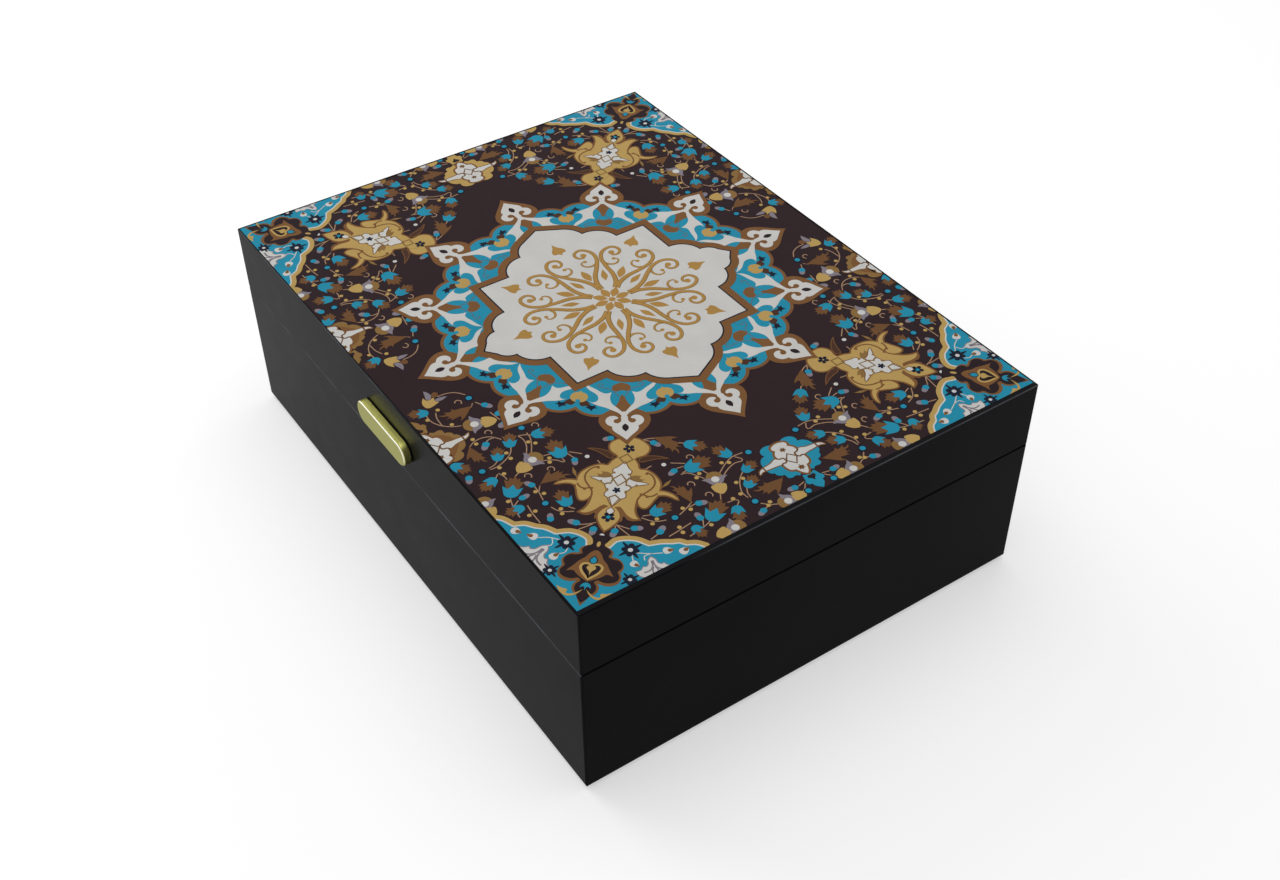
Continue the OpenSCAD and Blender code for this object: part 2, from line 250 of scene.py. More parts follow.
@dataclass(frozen=True)
class LacquerFinish(Finish):
    """Sprayed black lacquer with painted edge highlights, and painted shade in its seam and near a corner."""

    name: str = "black_lacquer"
    black: Colour = (21, 21, 23)
    haze: Colour = (25, 25, 27)
    # Pale grey of the painted highlight on the edges.
    edge_highlight: Colour = (106, 108, 112)
    # Near black of the painted shade in the seam and on some edges.
    edge_shade: Colour = (6, 6, 7)
    gloss: Ends = (0.27, 0.31)
    mirror: float = 0.013
    haze_noise: Ends = (22, 3)
    gloss_noise: Ends = (60, 3)
    peel_noise: Ends = (420, 1)
    peel_depth: float = 0.006 * MM
    grain_noise: Ends = (2600, 2)
    grain_depth: float = 0.0012 * MM
    patch_noise: Ends = (45, 4)
    patch_ends: tuple = (0.6, 1, 0.38, 0.6)
    easing: Ends = (0.15, 0.45)
    level: Ends = (0.94, 0.99)
    facing: Ends = (0.2, 0.6)
    underside: Ends = (-0.6, -0.3)
    elsewhere: float = 0.3
    top_share: float = 0.6
    seam: float = 70 * MM
    # The top edges near this corner get painted shade instead of the painted highlight.
    unlit_corner: tuple = (150 * MM, -260 * MM, 85 * MM)
    unlit_stretch: tuple = (1.0, 2.2, 1.0)
    unlit_reach: tuple = (110 * MM, 160 * MM)
    top_shade_share: float = 0.6

    def shade(self, wires: Wiring) -> Any:
        """Builds the lacquer: a dark coat, faint haze, spray texture, painted edge highlights and painted
        seam shade.
        """
        spot = wires.place()
        coat = wires.blend(wires.span(wires.noise(spot, *self.haze_noise), 0, 1), self.black, self.haze)
        edge_highlight, edge_shade = self.edges(wires, spot)
        # Painted highlight: pale grey on the eased edges, standing in for the lacquer's reflection of light.
        colour = wires.blend(edge_highlight, coat, self.edge_highlight)
        # Painted shade: near black in the seam and on the front and right edges that have no highlight.
        colour = wires.blend(edge_shade, colour, self.edge_shade)
        gloss = wires.span(wires.noise(spot, *self.gloss_noise), *self.gloss)
        peel = wires.relief(wires.noise(spot, *self.peel_noise), self.peel_depth)
        bumps = wires.relief(wires.noise(spot, *self.grain_noise), self.grain_depth, peel)
        return wires.surface(colour, gloss, bumps, {"Specular IOR Level": self.mirror})

    def edges(self, wires: Wiring, spot: Any) -> tuple[Any, Any]:
        """Returns how far the eased edges get a painted highlight, and how far they get painted shade.

        Args:
            wires: Node tree to add to.
            spot: Output socket with the place on the box, in metres.

        Returns:
            Output sockets with both shares, from 0 to 1.
        """
        slope = wires.slopes()
        height = wires.node("ShaderNodeSeparateXYZ", {0: spot})["Z"]
        ends = {0: wires.place(self.unlit_stretch), 1: self.unlit_corner}
        away = wires.node("ShaderNodeVectorMath", ends, operation="DISTANCE")["Value"]
        patchy = wires.span(wires.noise(spot, *self.patch_noise), *self.patch_ends)
        rise = wires.span(slope["Z"], 0, 1, *self.easing)
        eased = wires.fold("MULTIPLY", rise, wires.span(slope["Z"], 1, 0, *self.level))
        least, most = self.facing
        front = wires.span(slope["Y"], 1, 0, -most, -least)
        right = wires.span(slope["X"], 0, 1, least, most)
        sides = wires.fold("MAXIMUM", front, right, self.elsewhere)
        on_top = wires.span(height, 0, 1, self.seam + 5 * MM, self.seam + 15 * MM)
        # The painted highlight goes on the top edges away from one corner, and on the front seam.
        lit_top = wires.fold("MULTIPLY", on_top, wires.span(away, 0, 1, *self.unlit_reach))
        highlit = wires.fold("MAXIMUM", lit_top, wires.fold("MULTIPLY", front, wires.inverse(on_top)))
        share = wires.span(on_top, 1, self.top_share, 0, 1)
        edge_highlight = wires.fold("MULTIPLY", eased, sides, highlit, patchy, share)
        share = wires.span(on_top, 1, self.top_shade_share, 0, 1)
        # Painted shade on the front and right edges where no highlight is painted.
        shaded_edge = wires.fold("MULTIPLY", eased, sides, share, wires.inverse(highlit))
        # Painted shade on the downward edge just above the seam, where the gap lies in shadow.
        above = wires.span(height, 0, 1, self.seam - 5 * MM, self.seam - 4 * MM)
        under = wires.fold("MULTIPLY", above, wires.span(slope["Z"], 1, 0, *self.underside))
        return edge_highlight, wires.fold("MAXIMUM", shaded_edge, under)


@dataclass(frozen=True)
class BrassFinish(Finish):
    """Polished brass with fine brush lines along its length, a little tarnish, and painted highlight and top
    light.
    """

    name: str = "polished_brass"
    # Near white of the painted highlight on the edges.
    glint: Colour = (252, 251, 242)
    face: Colour = (168, 165, 96)
    dull: Colour = (150, 145, 78)
    grazing: Colour = (226, 228, 216)
    # Lighter colour painted on the pull's upward faces, as light falling on them.
    top_light: Colour = (232, 229, 132)
    brush: tuple = (40, 1500, 3600)
    brush_noise: Ends = (1, 3)
    brush_depth: float = 0.0006 * MM
    brush_share: float = 0.16
    gloss: Ends = (0.28, 0.36)
    tarnish_noise: Ends = (120, 3)
    tarnish_ends: tuple = (0, 0.3, 0.4, 0.75)
    edge: float = 0.45 * MM
    edge_turn: Ends = (0.86, 0.995)
    upward: Ends = (0.75, 0.95)
    bevel: tuple = ()
    bevel_rise: Ends = (0.2, 0.5)
    bevel_fall: Ends = (0.8, 0.95)
    bevel_lower: tuple = (0.15, 1, -0.35, 0.3)

    def shade(self, wires: Wiring) -> Any:
        """Builds the brass: brush lines in roughness and relief, tarnish in colour, painted highlight and top
        light.
        """
        lines = wires.noise(wires.place(self.brush), *self.brush_noise)
        tarnish = wires.noise(wires.place(), *self.tarnish_noise)
        colour = wires.blend(wires.span(tarnish, *self.tarnish_ends), self.face, self.dull)
        colour = wires.blend(wires.span(lines, 0, self.brush_share), colour, self.dull)
        # On the pull: painted light on the top face and a painted highlight on the front bevel; elsewhere a
        # painted highlight on every edge.
        if self.bevel:
            slope = wires.slopes()
            colour = wires.blend(wires.span(slope["Z"], 0, 1, *self.upward), colour, self.top_light)
            glint_share = self.bevel_glint(wires, slope)
        else:
            glint_share = self.edge_glint(wires)
        # Painted highlight: near white where the mask is 1.
        colour = wires.blend(glint_share, colour, self.glint)
        gloss = wires.span(lines, *self.gloss)
        more = {"Metallic": 1.0, "Specular Tint": tint(self.grazing)}
        return wires.surface(colour, gloss, wires.relief(lines, self.brush_depth), more)

    def edge_glint(self, wires: Wiring) -> Any:
        """Returns 1 on the edges of a piece, where the highlight is painted, and 0 on its faces."""
        flat = wires.node("ShaderNodeNewGeometry")["Normal"]
        soft = wires.node("ShaderNodeBevel", {"Radius": self.edge}, samples=6)["Normal"]
        turn = wires.node("ShaderNodeVectorMath", {0: flat, 1: soft}, operation="DOT_PRODUCT")["Value"]
        return wires.span(turn, 1, 0, *self.edge_turn)

    def bevel_glint(self, wires: Wiring, slope: Any) -> Any:
        """Returns 1 on the front half of the front bevel, less on its lower side, and 0 elsewhere."""
        lean = wires.node("ShaderNodeMath", {0: slope["Y"]}, operation="ABSOLUTE")[0]
        depth = wires.node("ShaderNodeSeparateXYZ", {0: wires.place()})["Y"]
        rise = wires.span(lean, 0, 1, *self.bevel_rise)
        fall = wires.span(lean, 1, 0, *self.bevel_fall)
        near = wires.span(depth, 1, 0, *self.bevel)
        return wires.fold("MULTIPLY", rise, fall, near, wires.span(slope["Z"], *self.bevel_lower))


@dataclass(frozen=True)
class SteelFinish(Finish):
    """Zinc-plated steel of small screws."""

    name: str = "zinc_steel"
    dark: Colour = (176, 178, 182)
    light: Colour = (206, 207, 210)
    spangle: Ends = (900, 3)
    gloss: Ends = (0.28, 0.42)
    gloss_noise: Ends = (1800, 2)

    def shade(self, wires: Wiring) -> Any:
        """Builds the plating with a spangle of lighter and darker grey."""
        spot = wires.place()
        colour = wires.blend(wires.span(wires.noise(spot, *self.spangle), 0, 1), self.dark, self.light)
        gloss = wires.span(wires.noise(spot, *self.gloss_noise), *self.gloss)
        look = {"Base Color": colour, "Roughness": gloss, "Metallic": 1.0}
        return wires.node("ShaderNodeBsdfPrincipled", look)["BSDF"]


@dataclass(frozen=True)
class PileFinish(Finish):
    """Cloth with a pile: velvet on the linings, felt under the base."""

    name: str = "bordeaux_velvet"
    deep: Colour = (72, 12, 24)
    light: Colour = (104, 22, 38)
    sheen: float = 0.7
    sheen_tint: Colour = (206, 112, 126)
    fibres: float = 5200
    stroke: float = 34
    depth: float = 0.05 * MM
    nap_depth: float = 0.4 * MM
    nap_stretch: tuple = (1, 1.7, 1)
    # Darkening factor of the painted shade between the fibres.
    root: float = 0.7
    pile_shade_share: float = 0.5
    gloss: Ends = (0.8, 0.95)
    sheen_roughness: float = 0.35
    mirror: float = 0.15

    def shade(self, wires: Wiring) -> Any:
        """Builds the cloth: stroked nap in broad patches, fibres in fine noise with painted shade between
        them, sheen on top.
        """
        nap = wires.noise(wires.place(self.nap_stretch), self.stroke, 4)
        fibre = wires.noise(wires.place(), self.fibres, 2)
        colour = wires.blend(wires.span(nap, 0, 1), self.deep, self.light)
        # Painted shade: fine patches darkened toward the pile's depths, as shade between the fibres.
        pile_shade = tuple(self.root * part for part in self.deep)
        colour = wires.blend(wires.span(fibre, 0, self.pile_shade_share), colour, pile_shade)
        pile = wires.relief(fibre, self.depth, wires.relief(nap, self.nap_depth))
        more = {
            "Sheen Weight": self.sheen,
            "Sheen Roughness": self.sheen_roughness,
            "Sheen Tint": tint(self.sheen_tint),
            "Specular IOR Level": self.mirror,
        }
        return wires.surface(colour, wires.span(fibre, *self.gloss), pile, more)


@dataclass(frozen=True)
class InkFinish(Finish):
    """Printed ink under satin varnish on fine paper."""

    name: str = "ink"
    colour: Colour = (128, 128, 128)
    gloss: Ends = (0.37, 0.48)
    mirror: float = 0.025
    cloud_noise: Ends = (90, 4)
    cloud_share: float = 0.5
    paper_noise: Ends = (3400, 3)
    paper_share: float = 0.35
    paper_depth: float = 0.004 * MM
    thinning: Ends = (1.03, 1)
    density: float = 0.95

    def shade(self, wires: Wiring) -> Any:
        """Builds the ink: cloudy density, paper grain and a satin sheen."""
        spot = wires.place()
        cloud = wires.span(wires.noise(spot, *self.cloud_noise), 0, self.cloud_share)
        grain = wires.noise(spot, *self.paper_noise)
        factor, more = self.thinning
        thin = tuple(min(255, factor * part + more) for part in self.colour)
        dense = tuple(self.density * part for part in self.colour)
        colour = wires.blend(cloud, thin, dense)
        colour = wires.blend(wires.span(grain, 0, self.paper_share), colour, dense)
        gloss = wires.span(grain, *self.gloss)
        paper = wires.relief(grain, self.paper_depth)
        return wires.surface(colour, gloss, paper, {"Specular IOR Level": self.mirror})


LACQUER = LacquerFinish()
BRASS = BrassFinish()
PULL_BRASS = BrassFinish("bevelled_brass", bevel=(-117.75 * MM, -117.6 * MM))
STEEL = SteelFinish()
VELVET = PileFinish()
FELT = PileFinish("black_felt", (24, 24, 25), (38, 38, 40), 0.35, (120, 120, 124), 3000, 80, 0.12 * MM)
INKS = {pigment: InkFinish(f"ink_{pigment.name.lower()}", pigment.value) for pigment in Pigment}


def curve_through(knots: Sequence[Knot], closed: bool = True, steps: int = 3) -> Loop:
    """Runs a smooth line through knots, with a corner at each knot marked TIP.

    Args:
        knots: Points (x, y), or (x, y, TIP) for a corner.
        closed: Whether the line returns to its first knot.
        steps: Points on each stretch between two knots.

    Returns:
        Points of the line.
    """
    points = [Vector(knot[:2]) for knot in knots]
    count = len(points)
    corner = [len(knot) > 2 for knot in knots]
    if not closed:
        corner[0] = corner[-1] = True
    line = []
    for here in range(count if closed else count - 1):
        there = (here + 1) % count
        chord = points[there] - points[here]
        pull = []
        for knot in (here, there):
            ahead = points[(knot + 1) % count] - points[knot]
            behind = points[knot] - points[knot - 1]
            along = (ahead.normalized() + behind.normalized()).normalized()
            pull.append(chord if corner[knot] else along * chord.length)
        straight = corner[here] and corner[there]
        for step in range(1 if straight else steps):
            t = step / steps
            u = 1 - t
            spot = points[here] * (1 + 2 * t) * u * u + points[there] * (1 + 2 * u) * t * t
            line.append(spot + pull[0] * t * u * u - pull[1] * u * t * t)
    if not closed:
        line.append(points[-1])
    return line


def on_lid(knots: Sequence[Knot], closed: bool = False) -> Loop:
    """Returns a smooth line through places (x, f) on the lid, with f towards its front."""
    return [Vector((x, -f)) for x, f in curve_through(knots, closed)]


def leaf(half: Sequence[Knot]) -> Loop:
    """Returns the smooth outline of a mirrored shape from its right half, which begins and ends on x = 0."""
    other = [(-knot[0], *knot[1:]) for knot in reversed(half) if abs(knot[0]) > 1e-6]
    return curve_through([*half, *other])


def disc(x: float, y: float, across: float, tall: float | None = None, points: int = 12) -> Loop:
    """Returns a circle, or an ellipse where it is taller than across.

    Args:
        x: Centre, sideways.
        y: Centre, along.
        across: Radius sideways.
        tall: Radius along, where it differs.
        points: Corners of the outline.

    Returns:
        Points of the outline.
    """
    tall = across if tall is None else tall
    turns = [math.tau * step / points for step in range(points)]
    return [Vector((x + across * math.cos(turn), y + tall * math.sin(turn))) for turn in turns]


def flipped(loops: list[Loop]) -> list[Loop]:
    """Returns loops together with their mirror images across x = 0."""
    return loops + [[Vector((-spot[0], spot[1])) for spot in loop] for loop in loops]


def pair(*shapes: Sequence[Knot], closed: bool = True) -> list[Loop]:
    """Returns smooth lines through lists of knots, together with their mirror images."""
    return flipped([curve_through(knots, closed) for knots in shapes])


def turned(loops: Iterable[Loop], degrees: float) -> list[Loop]:
    """Returns loops turned about the origin."""
    spin = Matrix.Rotation(math.radians(degrees), 2)
    return [[spin @ Vector(spot[:2]) for spot in loop] for loop in loops]


def around(loop: Loop, count: int, start: float = 0.0) -> list[Loop]:
    """Returns copies of a loop set evenly round the origin, the first turned by start degrees."""
    return [turned([loop], start + 360 * step / count)[0] for step in range(count)]


def swollen(loops: Iterable[Loop], grow: float) -> list[Loop]:
    """Returns loops with every side moved outwards, or inwards where grow is negative.

    Args:
        loops: Points of each outline.
        grow: How far the sides move.

    Returns:
        Points of the new outlines.
    """
    grown = []
    sharpest = 0.5
    for loop in loops:
        spots = [Vector(spot[:2]) for spot in loop]
        after = spots[1:] + spots[:1]
        outwards = 1 if sum(a.cross(b) for a, b in zip(spots, after)) > 0 else -1
        sides = [(b - a).normalized() for a, b in zip(spots, after)]
        normals = [Vector((side.y, -side.x)) * outwards for side in sides]
        corners = zip(spots, normals[-1:] + normals[:-1], normals)
        grown.append([c + (m + n) * grow / max(sharpest, 1 + m.dot(n)) for c, m, n in corners])
    return grown


def ray_outline(lobes: Iterable[tuple], corners: Iterable[Sequence[tuple]], grow: float = 0.0) -> Loop:
    """Returns the outline of circles and polygons seen from the origin, all grown outwards.

    Args:
        lobes: Circles (x, y, radius).
        corners: Polygons, each a list of (x, y).
        grow: How far the shapes are grown.

    Returns:
        Points of the outline.
    """
    outline = []
    points = 1440
    flattest = 0.35
    for step in range(points):
        turn = math.tau * (step + 0.5) / points
        ray = Vector((math.cos(turn), math.sin(turn)))
        reach = 0.0
        for x, y, radius in lobes:
            along = ray.dot(Vector((x, y)))
            inside = along * along - x * x - y * y + (radius + grow) ** 2
            if inside > 0:
                reach = max(reach, along + math.sqrt(inside))
        for polygon in corners:
            for a, b in zip(polygon, [*polygon[1:], polygon[0]]):
                start, side = Vector(a), Vector(b) - Vector(a)
                slope = ray.cross(side)
                if abs(slope) < 1e-9:
                    continue
                share = start.cross(ray) / slope
                far = start.cross(side) / slope
                if 0 <= share <= 1 and far > 0:
                    normal = abs(ray.cross(side.normalized()))
                    reach = max(reach, far + grow / max(normal, flattest))
        outline.append(ray * reach)
    return outline


@dataclass
class InkWork:
    """Geometry Node trees that repeat, mirror and sweep the ink, and the meshes they work on.

    A layer of ink is a step high in mm, and plates reach into the sheet by the sink. Plates and stations of
    one layer differ a little in height, in turn, so that no two tops that overlap lie in one plane.
    """

    step: float
    sink: float
    plate_lift: float = 0.11
    plate_turns: int = 9
    station_lift: float = 0.1
    station_turns: int = 3
    scatter_tree: Any = field(init=False)
    ring_tree: Any = field(init=False)
    quarter_tree: Any = field(init=False)
    line_tree: Any = field(init=False)

    def __post_init__(self) -> None:
        """Builds the four trees."""
        self.scatter_tree = self.stations()
        self.ring_tree = self.ring()
        self.quarter_tree = self.quarters()
        self.line_tree = self.line()

    @staticmethod
    def begin(name: str, **sockets: str) -> tuple[Wiring, Any]:
        """Starts a tree with a mesh input, a mesh output and named inputs.

        Args:
            name: Name of the tree.
            **sockets: Socket type of each named input.

        Returns:
            The tree and its inputs.
        """
        tree = bpy.data.node_groups.new(name, "GeometryNodeTree")
        for label, kind in {"Geometry": "Geometry", **sockets, "Ink": "Material"}.items():
            tree.interface.new_socket(label, in_out="INPUT", socket_type=f"NodeSocket{kind}")
        tree.interface.new_socket("Geometry", in_out="OUTPUT", socket_type="NodeSocketGeometry")
        wires = Wiring(tree)
        return wires, wires.node("NodeGroupInput")

    @staticmethod
    def end(wires: Wiring, given: Any, shape: Any) -> Any:
        """Ends a tree: real geometry, then its ink."""
        real = wires.node("GeometryNodeRealizeInstances", {"Geometry": shape})[0]
        inked = wires.node("GeometryNodeSetMaterial", {"Geometry": real, "Material": given["Ink"]})[0]
        wires.node("NodeGroupOutput", {0: inked})
        return wires.tree

    @staticmethod
    def mark(wires: Wiring, name: str) -> Any:
        """Returns the number that each point carries under a name."""
        return wires.node("GeometryNodeInputNamedAttribute", {"Name": name}, data_type="FLOAT")[0]

    def stations(self) -> Any:
        """Returns the tree that sets a motif on every station, turned and sized for it."""
        wires, given = self.begin("Motif on stations", Motif="Object")
        motif = wires.node("GeometryNodeObjectInfo", {"Object": given["Motif"]})["Geometry"]
        size = self.mark(wires, "size")
        spin = wires.node("ShaderNodeCombineXYZ", {"Z": self.mark(wires, "turn")})[0]
        scale = wires.node("ShaderNodeCombineXYZ", {"X": size, "Y": size, "Z": 1.0})[0]
        ends = {"Points": given[0], "Instance": motif, "Rotation": spin, "Scale": scale}
        return self.end(wires, given, wires.node("GeometryNodeInstanceOnPoints", ends)[0])

    def ring(self) -> Any:
        """Returns the tree that repeats one sector round the origin."""
        wires, given = self.begin("Sectors in a ring", Count="Int")
        spots = wires.node("GeometryNodePoints", {"Count": given["Count"]})[0]
        part = wires.fold("DIVIDE", wires.node("GeometryNodeInputIndex")[0], given["Count"])
        spin = wires.node("ShaderNodeCombineXYZ", {"Z": wires.fold("MULTIPLY", part, math.tau)})[0]
        ends = {"Points": spots, "Instance": given[0], "Rotation": spin}
        return self.end(wires, given, wires.node("GeometryNodeInstanceOnPoints", ends)[0])

    def quarters(self) -> Any:
        """Returns the tree that mirrors one quarter of the print to the other three."""
        wires, given = self.begin("Four quarters")
        shape = given[0]
        for mirror in ((-1.0, 1.0, 1.0), (1.0, -1.0, 1.0)):
            other = wires.node("GeometryNodeTransform", {"Geometry": shape, "Scale": mirror})[0]
            other = wires.node("GeometryNodeFlipFaces", {"Mesh": other})[0]
            shape = wires.node("GeometryNodeJoinGeometry", {0: [shape, other]})[0]
        return self.end(wires, given, shape)

    def line(self) -> Any:
        """Returns the tree that sweeps a low rounded line of ink along a path."""
        wires, given = self.begin("Line of ink", Width="Float", Height="Float", Base="Float")
        path = wires.node("GeometryNodeMeshToCurve", {"Mesh": given[0]})[0]
        half = wires.fold("MULTIPLY", given["Width"], 0.5)
        profile = wires.node("GeometryNodeCurvePrimitiveCircle", {"Resolution": 6, "Radius": half})[0]
        swell = self.mark(wires, "swell")
        ends = {"Curve": path, "Profile Curve": profile, "Scale": swell, "Fill Caps": True}
        tube = wires.node("GeometryNodeCurveToMesh", ends)[0]
        low = wires.fold("DIVIDE", given["Height"], half)
        flat = wires.node("ShaderNodeCombineXYZ", {"X": 1.0, "Y": 1.0, "Z": low})[0]
        lift = wires.node("ShaderNodeCombineXYZ", {"Z": given["Base"]})[0]
        ends = {"Geometry": tube, "Scale": flat, "Translation": lift}
        return self.end(wires, given, wires.node("GeometryNodeTransform", ends)[0])

    @staticmethod
    def grow(tree: Any, mesh: bpy.types.Mesh, pigment: Pigment, **values: Any) -> bpy.types.Mesh:
        """Runs a tree on a mesh and keeps what comes out as a plain mesh.

        Args:
            tree: Geometry node tree.
            mesh: What goes into the tree.
            pigment: Ink of the result.
            **values: The tree's named inputs.

        Returns:
            The new mesh.
        """
        carrier = put("carrier", mesh)
        modifier = carrier.modifiers.new("grow", "NODES")
        modifier.node_group = tree
        values["Ink"] = INKS[pigment].material()
        for socket in tree.interface.items_tree:
            if socket.in_out == "INPUT" and socket.name in values:
                modifier[socket.identifier] = values[socket.name]
        view = bpy.context.evaluated_depsgraph_get()
        grown = bpy.data.meshes.new_from_object(carrier.evaluated_get(view))
        bpy.data.objects.remove(carrier)
        return grown

    @staticmethod
    def points(spots: list, links: list, **marks: list) -> bpy.types.Mesh:
        """Makes a mesh of points and the lines that link them, with numbers on its points by name."""
        mesh = bpy.data.meshes.new("points")
        mesh.from_pydata(spots, links, [])
        for name, values in marks.items():
            mesh.attributes.new(name, "FLOAT", "POINT").data.foreach_set("value", values)
        return mesh

    def plates(self, loops: Iterable[Loop], level: float, foot: float | None = None) -> bpy.types.Mesh:
        """Makes closed flat plates of ink.

        Args:
            loops: Outline of each plate, in mm.
            level: Layer that the top of the plates reaches.
            foot: Height of their underside in mm, where it isn't just under the sheet's top.

        Returns:
            A mesh in mm, with height 0 on top of the sheet.
        """
        form = bmesh.new()
        foot = -self.sink if foot is None else foot
        for number, loop in enumerate(loops):
            top = (level + self.plate_lift * (number % self.plate_turns)) * self.step
            spots = [(spot[0], spot[1]) for spot in loop]
            doubled = sum(a[0] * b[1] - b[0] * a[1] for a, b in zip(spots, spots[1:] + spots[:1]))
            if doubled < 0:
                spots.reverse()
            upper = [form.verts.new((x, y, top)) for x, y in spots]
            lower = [form.verts.new((x, y, foot)) for x, y in spots]
            form.faces.new(upper)
            form.faces.new(lower[::-1])
            for side in range(len(spots)):
                form.faces.new((lower[side - 1], lower[side], upper[side], upper[side - 1]))
        return finished(form, "plates")

    def strokes(
        self,
        paths: Iterable[Loop],
        pigment: Pigment,
        width: float,
        level: float,
        closed: bool = False,
        taper: float = 1.0,
    ) -> bpy.types.Mesh:
        """Makes lines of ink along paths.

        Args:
            paths: Points of each path, in mm.
            pigment: Ink of the lines.
            width: Width of a line at its start, in mm.
            level: Layer that the top of the lines reaches.
            closed: Whether each path returns to its start.
            taper: Width at the end of a path, as a share of the start.

        Returns:
            A mesh in mm.
        """
        spots, links, swell = [], [], []
        for path in paths:
            first = len(spots)
            count = len(path)
            spots += [(spot[0], spot[1], 0.0) for spot in path]
            swell += [1 + (taper - 1) * step / max(1, count - 1) for step in range(count)]
            links += [(first + step, first + step + 1) for step in range(count - 1)]
            if closed:
                links.append((first + count - 1, first))
        mesh = self.points(spots, links, swell=swell)
        base = (level - 1) * self.step
        return self.grow(self.line_tree, mesh, pigment, Width=width, Height=self.step, Base=base)

    def scatter(
        self, motif: bpy.types.Mesh, length: float, stations: Iterable[Station], pigment: Pigment
    ) -> bpy.types.Mesh:
        """Sets a motif, drawn from the origin along +y, on stations.

        Args:
            motif: Mesh of the motif in mm.
            length: Its length in mm.
            stations: Foot and tip of each place, (x, f, x, f), with f towards the front of the lid.
            pigment: Ink of the motif.

        Returns:
            A mesh in mm.
        """
        spots, turns, sizes = [], [], []
        for number, (x0, f0, x1, f1) in enumerate(stations):
            spots.append((x0, -f0, self.station_lift * (number % self.station_turns) * self.step))
            turns.append(math.atan2(x0 - x1, f0 - f1))
            sizes.append(math.hypot(x1 - x0, f1 - f0) / length)
        source = bpy.data.objects.new("motif", motif)
        mesh = self.points(spots, [], turn=turns, size=sizes)
        grown = self.grow(self.scatter_tree, mesh, pigment, Motif=source)
        bpy.data.objects.remove(source)
        return grown


@dataclass(frozen=True)
class Coat:
    """One coat of a motif: plates of one ink, or lines where a width is given."""

    pigment: Pigment
    loops: list
    width: float = 0.0
    closed: bool = True


@dataclass(frozen=True)
class Motif:
    """An ornament drawn in mm from its foot at the origin along +y, coat over coat from a base layer up."""

    length: float
    base: int
    coats: tuple[Coat, ...]

    @classmethod
    def of(cls, length: float, base: int, *coats: Coat) -> Motif:
        """Makes a motif from its coats, the lowest first."""
        return cls(length, base, coats)


def rimmed(rim: Pigment, fill: Pigment, loops: list, edge: float = 0.5) -> tuple[Coat, Coat]:
    """Returns two coats: shapes with an edge in one ink, and the shapes themselves in another."""
    return Coat(rim, swollen(loops, edge)), Coat(fill, loops)


# Flowers, leaves and berries of the vines
PETALS = [
    (0, 2.4), (1.6, 3.4), (2.3, 5.2), (3, 7, TIP), (1.7, 6.7, TIP), (1.5, 8.2, TIP), (0.7, 7.6, TIP),
    (0, 9.2, TIP),
]
CUP = [(0, 0), (1.7, 0.7), (2.4, 2.3), (3, 4.5, TIP), (1.3, 3.4, TIP), (0, 5.4, TIP)]
TULIP = Motif.of(9.2, 2, Coat(LEAF, [leaf(PETALS)]), Coat(TURQUOISE, [leaf(CUP)]))
BUD = Motif.of(
    4.8,
    4,
    Coat(LILAC, [disc(0, 3, 1.28, 1.85)]),
    Coat(TURQUOISE, [leaf([(0, 0, TIP), (1.05, 0.6), (1.38, 1.7), (1, 2.6), (0, 2.9)])]),
)
LILY_CUP = [
    (0, 7.2, TIP), (0.7, 8.1, TIP), (1.3, 7.6, TIP), (1.9, 8.6, TIP), (2.5, 8.1, TIP), (3.4, 9, TIP),
    (3.2, 10.6), (2.5, 12.4), (1.2, 13.8), (0, 14.4),
]
LILY_SIDES = [(0, 8.6), (1.8, 8.2), (3.2, 6.8), (4.2, 5.2), (5.8, 4, TIP), (3.8, 3.5), (2.2, 3.8), (0, 4.4)]
LILY = Motif.of(
    14.0,
    6,
    Coat(OCHRE, [leaf([(0, 0.2), (1.8, 0.6), (3.1, 1.8), (3.6, 3.4), (2.4, 4.6), (0, 4.8)])]),
    Coat(LILAC, [leaf(LILY_SIDES)]),
    Coat(GOLD, [leaf(LILY_CUP)]),
    Coat(CREAM, [disc(0, 5, 1.8)]),
)
CROCUS_CUP = [
    (0.4, 1.2), (2, 2), (3.4, 3.8), (4.6, 5.7, TIP), (2.7, 6), (2.3, 7), (1.6, 8.3, TIP), (0.7, 6.9),
    (-0.6, 6), (-2.6, 7.4, TIP), (-2.5, 4.6), (-1.4, 2.4),
]
CROCUS_SIDES = [
    [(-0.8, 6.4), (-2, 8.6), (-3.3, 11.8, TIP), (-1.1, 11), (0.5, 9.2), (0.7, 7.2)],
    [(2.6, 6.4), (4.6, 8.6), (7.2, 9.4, TIP), (6, 7.4), (4.2, 6)],
]
CROCUS = Motif.of(
    12.1,
    6,
    Coat(LEAF, [disc(1.8, 10, 1.5, 1.7)]),
    Coat(LILAC, [curve_through(side) for side in CROCUS_SIDES]),
    Coat(GOLD, [curve_through(CROCUS_CUP)]),
)
SERRATED = [
    (0.5, -0.6, TIP), (-0.8, 0.8), (-0.8, 2.2), (-0.5, 4.3), (-0.3, 6.3), (-0.2, 7.6), (1.1, 8.9, TIP),
    (-0.3, 9.2), (-0.4, 10.6), (0.5, 12.4, TIP), (-1.1, 12), (-1.1, 13.6), (-0.4, 15.2, TIP), (-2.1, 13.6),
    (-2.8, 11.4), (-4.4, 13.2, TIP), (-4.3, 10.8), (-5.6, 11.4, TIP), (-5.2, 9), (-5, 7), (-7.8, 8.1, TIP),
    (-6.6, 6), (-5, 4.2), (-3.4, 2.8), (-1.8, 1.2),
]
LEFT_LEAF = Motif.of(15.1, 10, Coat(LEAF, [curve_through(SERRATED)]))
RIGHT_LEAF = Motif.of(15.1, 11, Coat(LEAF, [curve_through([(-k[0], *k[1:]) for k in SERRATED])]))
BERRY = Motif.of(1.0, 12, Coat(GOLD, [disc(0, 0, 0.92, points=10)]))
